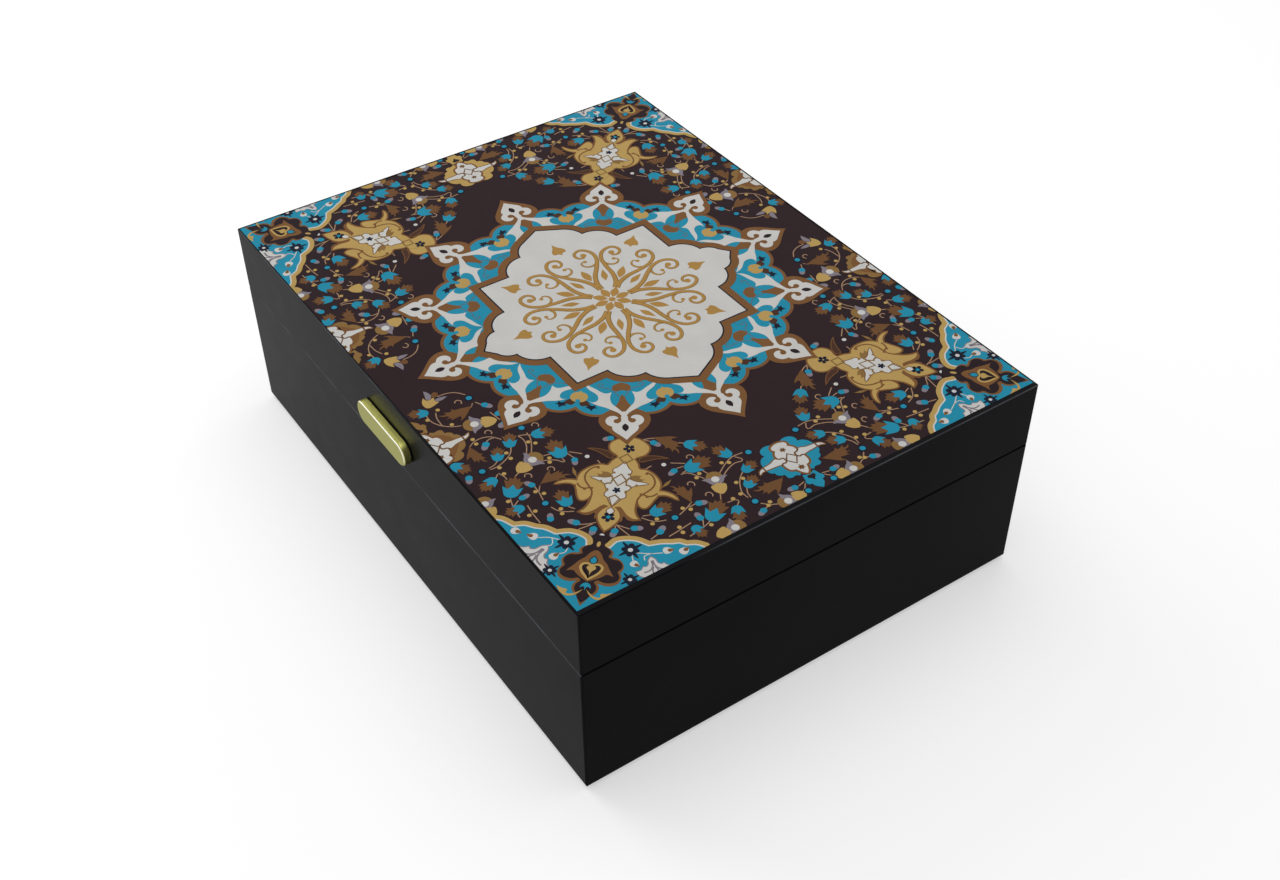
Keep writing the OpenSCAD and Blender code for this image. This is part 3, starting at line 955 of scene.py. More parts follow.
BLUE_BERRY = Motif.of(1.0, 13, Coat(NAVY, [disc(0, 0, 1.85)]), Coat(TURQUOISE, [disc(0, 0, 1.28)]))
PEARL = Motif.of(1.0, 18, Coat(CREAM, [disc(0, 0, 1, points=10)]))
LONG_PETAL = leaf([(0, 0.6, TIP), (0.8, 1.9), (0.55, 3.4), (0.4, 4.5), (0, 5.4, TIP)])
SHORT_PETAL = leaf([(0, 0.6, TIP), (1.1, 1.9), (1, 2.9), (0, 3.5)])
ROSETTE = Motif.of(
    4.6,
    22,
    Coat(NAVY, [*around(LONG_PETAL, 4), *around(SHORT_PETAL, 4, 45)]),
    Coat(CREAM, [disc(0, 0, 1, points=10)]),
)


def starlet(x: float, y: float, size: float) -> list[Loop]:
    """Returns five small petals round a point."""
    return [[Vector((x, y)) + spot * size for spot in petal] for petal in around(SHORT_PETAL, 5)]


# The palmette on each diagonal, and the flower at its foot
FLOWER = [
    (0, -6.4), (2.6, -6.2), (4.6, -5.2, TIP), (5.8, -4.3), (7.5, -2.5), (7.9, -0.2), (7, 2.3), (4.7, 4.1),
    (2.6, 5.4), (0, 5.4),
]
FLOWER_UNDER = Motif.of(49.0, 5, *rimmed(BROWN, GOLD, [leaf(FLOWER)], 0.8))
NECK = [(0, -1), (3.2, 0.8), (4.2, 3.6), (2.6, 6.4), (0, 7)]
BODY = [
    (0, 4), (2.8, 5.6), (5, 8.4), (6.4, 11.4), (8.6, 11.4), (11.2, 12.4), (13.8, 14.6), (15.8, 17.6),
    (16.3, 20.6), (15.8, 23.4), (11, 26), (7, 30), (3, 33.5), (0, 34),
]
LOBE = [
    (9.4, 25), (12.4, 25.4), (15.4, 23.4), (16.1, 24.8), (15.2, 27.4), (14.2, 30.4), (12.6, 32.6),
    (10.8, 32), (9.4, 29.4),
]
HORN = [
    (13.4, 24.4), (16.6, 22.3), (19.6, 22.4), (22.4, 23.6), (24.6, 25.8, TIP), (21.4, 24.4), (18.6, 24),
    (16.2, 24.6),
]
SWORD = [
    (2.6, 32.6), (4.8, 27.4), (8.4, 25.4), (9.2, 28), (8.9, 31.4), (9.2, 34.8), (10.2, 37.2),
    (11.4, 39, TIP), (9.6, 39.2), (7.8, 38.4), (6, 36.8), (4.4, 34.6),
]
BUD_TOP = [
    (0, 33.4), (1.6, 34.6), (3.4, 36.8), (4.2, 39.4), (3.6, 42), (2.4, 44.2), (1.2, 46), (0, 47.4, TIP),
]
CREAM_HEART = [
    (0, 8.4, TIP), (1.35, 10.5), (2.5, 12.2), (3.5, 13), (3.5, 14.2), (3.3, 15.4), (3.8, 16.6),
    (3.9, 17.9, TIP), (6.4, 18.7), (9, 18.7), (11.6, 19.1, TIP), (9.2, 20), (7.2, 20.8), (5.4, 21.9),
    (4.9, 22.8), (4.3, 24), (3.4, 25.2, TIP), (3.9, 26.8), (4, 28.2), (2.6, 29.2, TIP), (1.5, 31.5),
    (0, 33.8, TIP),
]
HEART_SPOTS = [disc(2.95, 15.1, 0.6, points=8), disc(7.1, 20.7, 0.6, points=8), disc(3.7, 25.2, 0.6, 1, 8)]
SPRIG = [(16.8, 2.9, TIP), (12.6, 2.4), (9.4, 2.7), (7, 3.6), (5.2, 5.5), (5.9, 7.1), (9, 5.7), (12.5, 3.9)]
SPROUT = [
    (16.9, 20.4, TIP), (17.4, 18.7), (17.8, 17.3), (18.7, 16.2), (19.8, 14.7, TIP), (19.5, 16.6),
    (19, 18.2), (18, 19.2),
]
LONG_VEIN = [
    (9.6, 12.6), (11.6, 13.6), (13.4, 16.2), (13.9, 19), (12.9, 22), (10.8, 24.8), (9.3, 27.2), (9, 31),
    (9.5, 35), (10.9, 38),
]
VEINS = [
    LONG_VEIN,
    [(10.6, 25.2), (12.6, 26), (14.4, 25.4), (16, 23.6)],
    [(2.9, 19), (4.2, 20.4), (5.2, 21.4)],
]
VEIN_SPOTS = [
    disc(9.8, 13.3, 0.75, points=8), disc(9.7, 25.3, 0.6, points=8), disc(12.4, 26.3, 0.7, points=8),
]
DIAMONDS = [
    ((0, 3.4), (2.7, 6.3), (0, 9.2)), ((0, 15.4), (2.7, 18.8), (0, 22.2)),
    ((0, 27.6), (2.1, 29.3), (0, 33.8)),
]
CROSSES = [[(2.7, 18.8), (3.1, 21.4, TIP), (4.2, 21.4), (5.2, 22.2)], [(2.7, 18.8), (3.8, 16.7)]]
WEDGE = [
    (1.4, 33.4), (3.6, 33.2), (5.6, 36), (7.8, 38.2), (11.8, 39.8, TIP), (9.4, 40.5), (7.2, 40),
    (5.6, 38.6), (5.5, 40.2), (5.3, 41.8, TIP), (4, 40.4), (3.6, 38),
]
FEATHER = [
    (4, 17.6), (7, 18.6), (11, 19.6, TIP), (8.8, 17.6), (10.2, 16.8, TIP), (7.4, 16.4), (8.2, 15.2, TIP),
    (4.4, 15.6),
]
EYES = [disc(0, 0.2, 1.2), disc(0, 24.8, 0.9), disc(0, 40, 1.4)]
TOP_LEAF = leaf([(0, 34.8, TIP), (1.3, 36.4), (0.9, 37.6), (0, 38.2)])
GOLDS = [leaf(BODY), *pair(LOBE), *pair(HORN), *pair(SWORD), leaf(BUD_TOP)]
DIAGONAL = Motif.of(
    49.0,
    12,
    Coat(SEPIA, pair(SPRIG)),
    Coat(LEAF, pair(SPRIG), 0.6),
    Coat(BROWN, pair(WEDGE)),
    Coat(BROWN, swollen(GOLDS, 0.8)),
    Coat(GOLD, [*GOLDS, leaf(NECK)]),
    Coat(OCHRE, pair(FEATHER, SPROUT)),
    Coat(BROWN, pair(*VEINS, closed=False), 0.75, False),
    Coat(BROWN, flipped(VEIN_SPOTS)),
    *rimmed(BROWN, CREAM, [leaf(CREAM_HEART), TOP_LEAF], 0.45),
    Coat(OCHRE, flipped(HEART_SPOTS)),
    Coat(OCHRE, [leaf([(*spot, TIP) for spot in half]) for half in DIAMONDS], 0.85),
    Coat(OCHRE, pair(*CROSSES, closed=False), 0.8, False),
    Coat(NAVY, [*starlet(0, 0.2, 0.7), *starlet(0, 40, 0.76), *starlet(0, 24.8, 0.48), *EYES]),
    Coat(TURQUOISE, [disc(0, 40, 0.9, points=8)]),
    Coat(GOLD, [disc(0, 0.2, 0.45, points=8)]),
)

# The palmette at the middle of each edge
FAN = [
    (0, 10.2), (2.4, 9.4), (3.4, 10.3, TIP), (4.7, 9.3), (7, 9.5), (8.2, 8.8, TIP), (8.3, 6.5, TIP),
    (9.6, 6.2), (10.9, 5, TIP), (11, 3.6, TIP), (11.8, 3.3), (12.6, 2), (12.9, 0), (12.6, -2), (11.9, -4.2),
    (10.2, -6), (8.3, -6.6, TIP), (8.7, -8), (8, -9.8), (6.4, -10.8), (4, -11), (2.4, -10.4), (0, -10),
]
INNER_FAN = [
    (0, 7.6), (4.6, 7.4), (7.4, 5.6), (9.4, 2.6), (10.2, -0.6), (9, -3.6), (6.6, -6.2), (4.6, -8),
    (0, -8.6),
]
CORE = [
    (0, -9.9), (2, -9.5), (3.4, -8.7), (3.6, -7.4), (2.9, -6.5, TIP), (3.8, -5.6), (4.7, -4.2), (4.8, -2.6),
    (5.6, 0), (5.2, 1.6), (5.2, 3.2), (5, 4.6), (4.2, 6), (2.6, 6.5, TIP), (1.9, 8.4), (1, 9.9),
    (0, 10.8, TIP),
]
WING = [
    (5, -2.7), (6.4, -2.7), (8.9, -1.7), (11, -1.4), (12.8, -1.2), (14.6, -0.7), (15.6, 0.1),
    (16.2, 1.3, TIP), (14.6, 0.5), (12.8, 0.5), (10.6, 0.7), (8.6, 0.8), (6.4, 1.1), (5, 1.4),
]
KNOB = [
    (0, 11.2), (1.6, 11.2), (2.6, 10.6), (3.2, 12), (3.5, 13.4, TIP), (4.3, 14.8), (3.8, 16.2),
    (2.5, 16.6, TIP), (2.3, 18), (1.2, 19.4), (0, 20.6, TIP),
]
LATTICE = [
    [(2.6, 0.4), (3.6, 1.3), (4.6, 1.1), (5.8, 1.6)], [(2.6, 0.4), (2.9, -1.4), (4.4, -1.8), (5.6, -2.9)],
    [(13, -1.3), (13, 0.6)],
]
UPPER_SPADE = [
    (0, 8.5, TIP), (0.5, 7.5), (1.4, 7.6, TIP), (1.1, 6.6), (1.5, 5.9, TIP), (0.5, 5.8), (0, 4.6, TIP),
]
LOWER_SPADE = [
    (0, -3.8, TIP), (0.5, -4.7), (1.4, -4.8, TIP), (1, -5.6), (1.3, -6.4, TIP), (0.4, -6.2), (0, -7.1, TIP),
]


def side_palmette(fan: Pigment, inner: Pigment) -> Motif:
    """Returns a palmette with fans in two inks round a cream heart, which points along the sheet's edge."""
    horns = pair(WING)
    return Motif.of(
        10.0,
        16,
        Coat(fan, [leaf(FAN), leaf(KNOB)]),
        Coat(inner, [leaf(INNER_FAN)]),
        Coat(BROWN, [*swollen([leaf(CORE)], 1.0), *swollen(horns, 0.55)]),
        Coat(CREAM, [leaf(CORE), *horns]),
        Coat(LEAF, [leaf([(0, 3.8, TIP), (2.6, 0.4, TIP), (0, -2.7, TIP)])], 0.8),
        Coat(LEAF, pair(*LATTICE, closed=False), 0.75, False),
        Coat(LEAF, [leaf(UPPER_SPADE), leaf(LOWER_SPADE)]),
        Coat(UMBER, [leaf([(0, 12.2), (1.4, 12), (1.9, 13.2, TIP), (0.9, 14), (0, 15.4, TIP)])]),
    )


# Ornaments of the corners
HEART_EDGE = [
    (0, -1.2), (3, -1.2, TIP), (2.2, 1.4), (2.4, 3.4), (4.4, 4.4), (6.4, 6.2), (6.2, 8.6, TIP), (8.8, 9),
    (11, 11), (11.8, 13.4), (11, 15.8, TIP), (11.9, 18.4), (11.4, 21.2), (9.2, 23), (6.2, 23.4),
    (4, 22.6, TIP), (5, 24.8), (4.6, 27.4), (3.2, 29.2), (2, 30.2), (1.4, 32), (0, 34.6, TIP),
]
HEART_DARK = [
    (0, -1.4), (2.9, -1.3), (2, 1.4), (2.2, 3.6), (4.2, 5), (5.2, 6.6), (4.6, 8.8), (6.8, 10), (9.2, 10.4),
    (10.6, 12), (10.6, 13.8), (9.6, 15.6), (10.8, 18.2), (10.4, 20), (8.8, 21.2), (6, 21.6), (3.6, 20.8),
    (2.2, 22.4), (3.4, 24.2), (3.6, 26.4), (2.4, 28.6), (1.6, 30.6), (0, 32.6, TIP),
]
HEART_BODY = [
    (0, 6.2), (2.2, 8), (3.4, 10.4), (5.2, 12.4), (6.6, 14.8), (9, 18.4, TIP), (6.2, 17.8), (5, 19),
    (2.8, 20.8), (0, 22.4, TIP),
]
HEART_HALF = [
    (0, 13.4), (1.6, 12.9), (3.4, 13.2), (4.5, 14.8), (4.2, 16.8), (2.8, 19), (1, 20.9), (0, 21.8, TIP),
]
HEART = [leaf(HEART_HALF)]
TENDRIL = [
    (0.6, 26.4, TIP), (2.2, 28.8), (4.2, 30.3), (6.6, 30.5), (9, 28.8), (10.6, 26.2, TIP), (8.2, 27.2),
    (6.2, 27.6), (6.4, 29.2), (4.6, 29.4), (2.8, 28.4),
]
HEART_GOLDS = [
    leaf([(0, 19.2, TIP), (0.5, 17.2), (1.8, 15.6), (1.3, 14.5), (0, 14.3)]), disc(0, 3, 0.75, 1.5, 8),
]
HEART_CUP = leaf([(0, 23), (1.6, 24), (2.1, 25.8, TIP), (0.7, 25), (0, 27, TIP)])
HEART_FOOT = leaf([(0, 9.6, TIP), (1.2, 11.4), (0.7, 12.8), (0, 13.1)])
CORNER_HEART = Motif.of(
    33.5,
    23,
    Coat(BROWN, [leaf(HEART_EDGE)]),
    Coat(UMBER, swollen([leaf(HEART_DARK)], 0.35)),
    Coat(BROWN, [leaf(HEART_BODY)]),
    Coat(GOLD, HEART),
    Coat(UMBER, swollen(HEART, -1.0)),
    Coat(GOLD, [*HEART_GOLDS, *pair(TENDRIL)]),
    *rimmed(UMBER, TURQUOISE, [HEART_FOOT, HEART_CUP], 0.4),
)
CLOUD_EDGE = [
    (0, -3), (4.5, -2.8), (8, -0.8), (9, 2, TIP), (6.4, 2.6), (5, 4.4, TIP), (3.8, 4), (2.2, 5.2),
    (1.6, 7.8), (0, 9.8, TIP),
]
CLOUD_FOLDS = [[(0.4, 7.4), (0.6, 4), (2.4, 1.4), (5.6, 0.6)], [(0.4, 3.4), (1.4, 0.4), (1.2, -2.4)]]
CLOUD = Motif.of(
    10.0,
    19,
    *rimmed(LILAC, CREAM, [leaf(CLOUD_EDGE)]),
    Coat(LILAC, pair(*CLOUD_FOLDS, closed=False), 0.8, False),
)
SEED = Motif.of(
    4.6,
    19,
    Coat(CREAM, [leaf([(0, 0), (1.6, 0.7), (1.7, 2.3), (0, 4.6, TIP)])]),
    Coat(BROWN, [leaf([(0, 1.9), (0.9, 2.6), (0.7, 3.5), (0, 4.8, TIP)])]),
)

# Places in one quarter: foot and tip (x, f, x, f) of each ornament, or the middle (x, f) of a round one
TULIPS = [
    (58, 77.6, 60.8, 67.8), (76.6, 74.2, 64.3, 72.6), (59.6, 88.4, 51.2, 84), (63.8, 96.6, 56, 92.2),
    (22.2, 105, 18.2, 113), (55.2, 113.2, 63, 107.8), (71.6, 102.2, 75.2, 111), (84.6, 103.4, 75, 95),
    (92, 101.4, 91.4, 110), (101.4, 87.2, 91, 85.6), (97, 30, 104.6, 23.2), (114, 18.8, 105, 22.4),
    (110.6, 38.6, 109.8, 25.8), (124.2, 20.6, 121.4, 12.4), (132, 25, 128, 17.2), (137.6, 34.2, 146, 38),
    (139, 47.4, 131.6, 36.6), (137.2, 54.4, 145.2, 53.4), (123.4, 64, 122.4, 53.6),
]
BUDS = [
    (29.4, 84.4, 33.6, 81.4), (51.2, 94.2, 55, 98), (64.4, 110.2, 69, 112.4), (79, 70.4, 83.2, 72.6),
    (84.6, 92, 80.2, 94.2), (87.4, 101, 87.2, 96.2), (104.8, 97.4, 100.6, 95.2), (112, 88.8, 107.8, 91.8),
    (116.2, 85, 119.6, 88.8), (121.8, 78.9, 124.8, 83), (124.9, 74.6, 127.6, 70.4),
    (133.6, 67.8, 131, 63.2), (88.3, 40.2, 93, 38.4), (107.6, 41, 109.2, 45.6), (78.2, 50.8, 76.6, 55.4),
    (127.9, 46.8, 129.8, 42), (137, 49.6, 132, 49.4), (142.8, 8, 142.3, 12.8), (145.2, 25.8, 147.2, 30.2),
    (39.2, 83.2, 37.4, 78.6), (44.8, 80.1, 46.3, 85.9),
]
CROCUSES = [(20, 105, 10.5, 97.5)]
LILIES = [
    (37.6, 97.8, 41.6, 84.4), (69.2, 80.2, 73.8, 93.2), (116.8, 30.8, 129.2, 34.4), (146.9, 20.8, 147.3, 8),
    (147, 37, 147.2, 50), (77.8, 112.6, 90, 114),
]
RIGHT_LEAVES = [(49.4, 100.8, 61.8, 99.4), (127, 48.2, 114.4, 49.6)]
LEFT_LEAVES = [
    (27.4, 87.6, 25.6, 102.6), (85.4, 90.2, 87.6, 77), (86.8, 39, 101.2, 35.6), (134.6, 9.4, 134.2, 24),
]
BLUE_BERRIES = [
    (23.3, 86.7), (51.9, 78.5), (65.5, 104.7), (95, 93.8), (116, 11.9), (140, 26.9), (129.8, 57.4),
    (147, 6.3),
]
PEARLS = [(81.6, 66), (122, 85.5), (102.9, 43.8)]
BERRIES = [
    (34, 100.7), (26, 107.5), (22.7, 101), (46.8, 98.3), (50, 98.5), (61.5, 91.3), (65.3, 91.5), (67.5, 98),
    (71.5, 98.3), (60.8, 80.7), (63, 78.7), (73.8, 78.8), (76, 80), (90, 91.3), (87.3, 93.5), (101, 90.5),
    (103.5, 91.5), (96.5, 99.2), (97.2, 102.3), (86, 105), (126.5, 63.5), (127.7, 66.3), (116.5, 21.9),
    (115, 24.4), (127, 22.9), (127.4, 26.5), (133.5, 29), (143.5, 22.4), (144.7, 24), (115, 35.3),
    (116.4, 37.6), (134, 33), (129.5, 49.8), (127.3, 52), (140.8, 48.3), (135, 59), (138, 59.5),
]
DIAGONALS = [(87.2, 49.6, 121.5, 84.5)]
FRONT_SIDES = [(43.6, 114, 33.6, 114)]
ROSETTES = [
    (117.6, 98.5, 117.6, 93.9), (134.5, 81, 134.5, 76.4), (126.3, 111.2, 126.3, 107.6),
    (147, 89.6, 147, 86),
]
CLOUDS = [(117.2, 114.4, 115, 104.8), (149, 79.4, 141.6, 76.8)]
SEEDS = [
    (146.6, 66.6, 145.6, 62.2), (141.8, 71.4, 143.6, 67.4), (139.8, 84.4, 143.6, 83),
    (121.2, 108, 120.6, 103.6), (109.2, 106, 105.4, 108.6), (99.8, 112, 103.6, 109.6),
]
HEARTS = [(123.2, 86.9, 146.6, 111)]

# Places on the whole lid
RIGHT_SIDE = [(128.2, 0, 138.2, 0)]
LEFT_SIDE = [(-128.9, 0, -138.9, 0)]

# Lines in one quarter, through places (x, f): stems, the middles of small hooks, and the corner's edge
STEMS = [
    [(20.5, 86.8), (17, 89.5), (15.3, 93), (15, 97)],
    [(22.5, 106.5), (27, 106.8), (31.5, 105), (35, 101.5), (36.8, 97.8)],
    [(32, 104.2), (27, 103.8), (23.7, 102.5)], [(27, 85.8), (29.8, 84.5)], [(27, 87), (29, 89)],
    [(36, 84), (42.5, 83)], [(53.3, 88.7), (49.5, 91.5), (48, 95), (48.3, 98.5), (50, 101.5)],
    [(50.8, 90), (50.5, 93), (51.5, 95)], [(59.5, 88), (62.5, 90), (65, 94), (66.5, 99), (66.3, 101.5)],
    [(63.5, 96.5), (65, 99), (65.3, 101.5)], [(57.8, 77.5), (56.3, 79.5), (55.3, 82)],
    [(55.5, 78.3), (59, 78.7), (63, 80.5), (67, 83)], [(55.3, 82.2), (58, 81.5), (62, 82.3), (66.5, 85)],
    [(72, 77), (71.3, 80)], [(76.8, 74.8), (79, 75), (76.5, 77), (74.5, 80), (73.3, 83)],
    [(74.2, 93), (75.3, 95.5)], [(70, 100), (73, 99), (75, 99)], [(70.3, 100.5), (72.5, 103)],
    [(85, 103.5), (90, 105), (96, 105.8)], [(87.7, 101.5), (89.7, 104.8)],
    [(92, 100), (97, 100.7), (103, 101)], [(84, 92.2), (88, 92.5), (93, 93.5)],
    [(85.3, 90.3), (88.3, 92.6)], [(98, 93), (101, 92), (103.5, 89.5), (105, 87)],
    [(101.5, 87.5), (104, 86)], [(112, 89.5), (114, 86), (114.8, 83.5)], [(114.2, 91), (114.8, 85)],
    [(120, 78), (125, 75)], [(120, 78), (128, 77)], [(120, 78), (122.5, 80)],
    [(133.3, 67.5), (134.2, 71.5)], [(79.5, 70.5), (75.5, 71.5)], [(75, 70.5), (79, 66.7)],
    [(85.8, 42.5), (86.8, 39.5), (89, 36.5)], [(86, 42), (88.5, 40.2)], [(97, 29.8), (95.5, 31.3)],
    [(114.8, 14), (114.5, 19), (116.5, 24), (119.3, 28.5)],
    [(115, 18), (118.3, 16.5), (118, 20), (119.3, 24.5), (121.3, 28)],
    [(124, 20.8), (126.5, 24), (130, 26.5), (133.5, 28), (136.8, 27.8)],
    [(132, 24.8), (134.5, 26.3), (137.3, 26.8)], [(113.8, 33.3), (117, 32.5)],
    [(118.5, 35.3), (115, 37), (112, 39), (111.3, 41.5)], [(110.7, 38.5), (111, 40.5)],
    [(107, 36.5), (103.5, 41)], [(108, 38), (107.5, 40.8)], [(128.5, 35), (131.5, 37)],
    [(138, 34), (135.7, 31.8), (134.5, 36)], [(126.3, 47), (128, 50.5), (129.5, 55)],
    [(128, 46.7), (128.2, 49.5)], [(138.8, 47.3), (139.8, 50), (140, 51.5)], [(136.8, 49.3), (139.5, 51)],
    [(140.8, 56), (141.2, 58.5)], [(135.5, 54), (136.3, 60), (136.8, 65)], [(142, 4.5), (142.8, 7.7)],
    [(143, 4.7), (145.5, 7), (146.8, 10)], [(146.5, 20), (145, 23), (145.3, 26)], [(145, 23), (142, 25.8)],
    [(123.3, 64), (122, 67)], [(129, 60.8), (127, 65), (122.5, 68)], [(85.7, 63.8), (90, 63.9)],
    [(100.6, 48.1), (101, 52)],
]
HOOKS = [
    (23, 92), (46.5, 91.3), (53.3, 73.3), (79.5, 82), (77.8, 91.5), (105, 33), (118, 41.8), (126.8, 39.5),
]
SPANDREL = [
    (88.6, 114, TIP), (92, 110.6), (97, 108.6, TIP), (99, 105), (102.6, 102.4, TIP), (105.5, 99.6),
    (109.6, 97.6, TIP), (112, 93.2), (116.5, 90), (121, 89.2), (125, 91.6, TIP), (126.6, 86.6, TIP),
    (125.6, 82.6), (127.3, 78.3), (130.5, 74.6), (134.6, 72.4, TIP), (136.3, 68.4), (138.6, 65, TIP),
    (140, 62.3), (142.4, 60.6, TIP), (144.3, 57.5), (148, 55, TIP), (152, 55, TIP), (152, 118, TIP),
    (88.6, 118, TIP),
]
SPANDREL_STEMS = [
    [(115, 99.8), (111.6, 102.4), (109.4, 105.8)], [(112.6, 101.6), (115.4, 103.6), (115, 105.6)],
    [(120, 99.4), (121.6, 101.6), (121, 103.8)], [(136.8, 80.2), (140, 76.4), (142.6, 72)],
    [(137, 82), (140.4, 83.6)], [(140.6, 75.4), (140.2, 78.6), (142, 79.6)],
]

# One sector of the medallion, and one arm of the arabesque in its middle, from the middle along +y
RUMI = [
    (0.6, 80.4), (1.8, 78.7), (3.3, 77.3), (5, 76.1), (7.3, 74.4), (10.2, 72.9), (12.4, 71.3),
    (14, 69.6, TIP), (12.6, 70.6), (10.9, 70.2), (10, 68.6), (10.2, 66.4), (11.4, 64.6), (13.2, 62.7),
    (14.5, 60.5), (15.1, 57.6, TIP), (13.4, 59.7), (10.3, 62.5), (8.3, 64.5), (6.5, 65.4), (4.2, 64.8, TIP),
    (4.9, 67), (5.1, 69.4), (4.5, 72.2), (2.8, 74.5), (1.3, 76.7), (-0.2, 79.2),
]
PALM = [
    (0, 77.4), (0.9, 78.4), (1.2, 80.6), (2.5, 81), (3.6, 80.1), (5.5, 79.9), (7.1, 80.9), (7.85, 82.7),
    (7.5, 84.6), (6.3, 85.9), (5.3, 86.5, TIP), (5.4, 87.7), (4.9, 89.2), (3.5, 90.9), (1.7, 92.9),
    (0, 95, TIP),
]
COMMA = [
    (2.3, 78.4, TIP), (1.5, 80.8), (1.4, 82.8), (2.1, 84.2), (3.3, 84.6), (4.3, 84), (4.5, 82.8), (3.7, 82),
    (2.9, 81.9), (2.6, 81), (3.2, 79.9),
]
CASE = [
    (0, 66.4, TIP), (0.9, 68.2), (1.5, 70.2), (2.6, 72.8), (4.8, 75.4), (7.5, 77.3), (9.9, 79.5),
    (10.7, 82.4), (10.2, 85), (9.1, 87.3), (6.9, 90), (3.2, 94), (1.4, 96.2), (0, 98.2, TIP),
]
BOW = [
    (3.8, 75.3, TIP), (5.4, 75.5), (7, 77, TIP), (7.3, 75.4), (9, 74.6, TIP), (7.8, 74), (8.2, 72.5, TIP),
    (6.6, 73.6), (5, 73, TIP), (5.1, 74.4),
]
KNOP = [(0, 58.6, TIP), (1.6, 59.2), (3.4, 60.4), (4, 62.2), (3.3, 63.7), (2.1, 64.4), (1.1, 63.9), (0, 63.7)]
BLOSSOM = [
    (0, 64.9, TIP), (0.9, 65.9), (1.8, 66, TIP), (3.2, 67.2), (3.7, 68.8), (3.3, 70.6), (2.2, 71.8),
    (0, 72.3),
]
FLAME = [
    (0.9, 71.6), (2, 70.7), (3.6, 70.9), (4.9, 72), (5.5, 73.6), (5, 74.9, TIP), (3.9, 74.1), (2.4, 74.6),
    (1.2, 73.4),
]
CURL = [
    (0.8, 68.6), (1.9, 66.4), (3.2, 64.4), (4.6, 62.8), (6.6, 61.8), (8.8, 61.2), (9.6, 59.8), (8.6, 58.8),
    (7.5, 59.4), (8, 60.4),
]
SCROLL = [
    (0.4, 9), (0.9, 13.4), (3.4, 19), (7.8, 24.6), (11.4, 30.4), (11.8, 36.4), (8.4, 40.2), (4.6, 38.8),
    (4.4, 35.4), (6.8, 34.2), (8, 36),
]
SCROLL_TENDRIL = [(9.6, 27.2), (6.2, 26.4), (3.4, 28.2), (3.6, 31), (5.6, 31.2)]


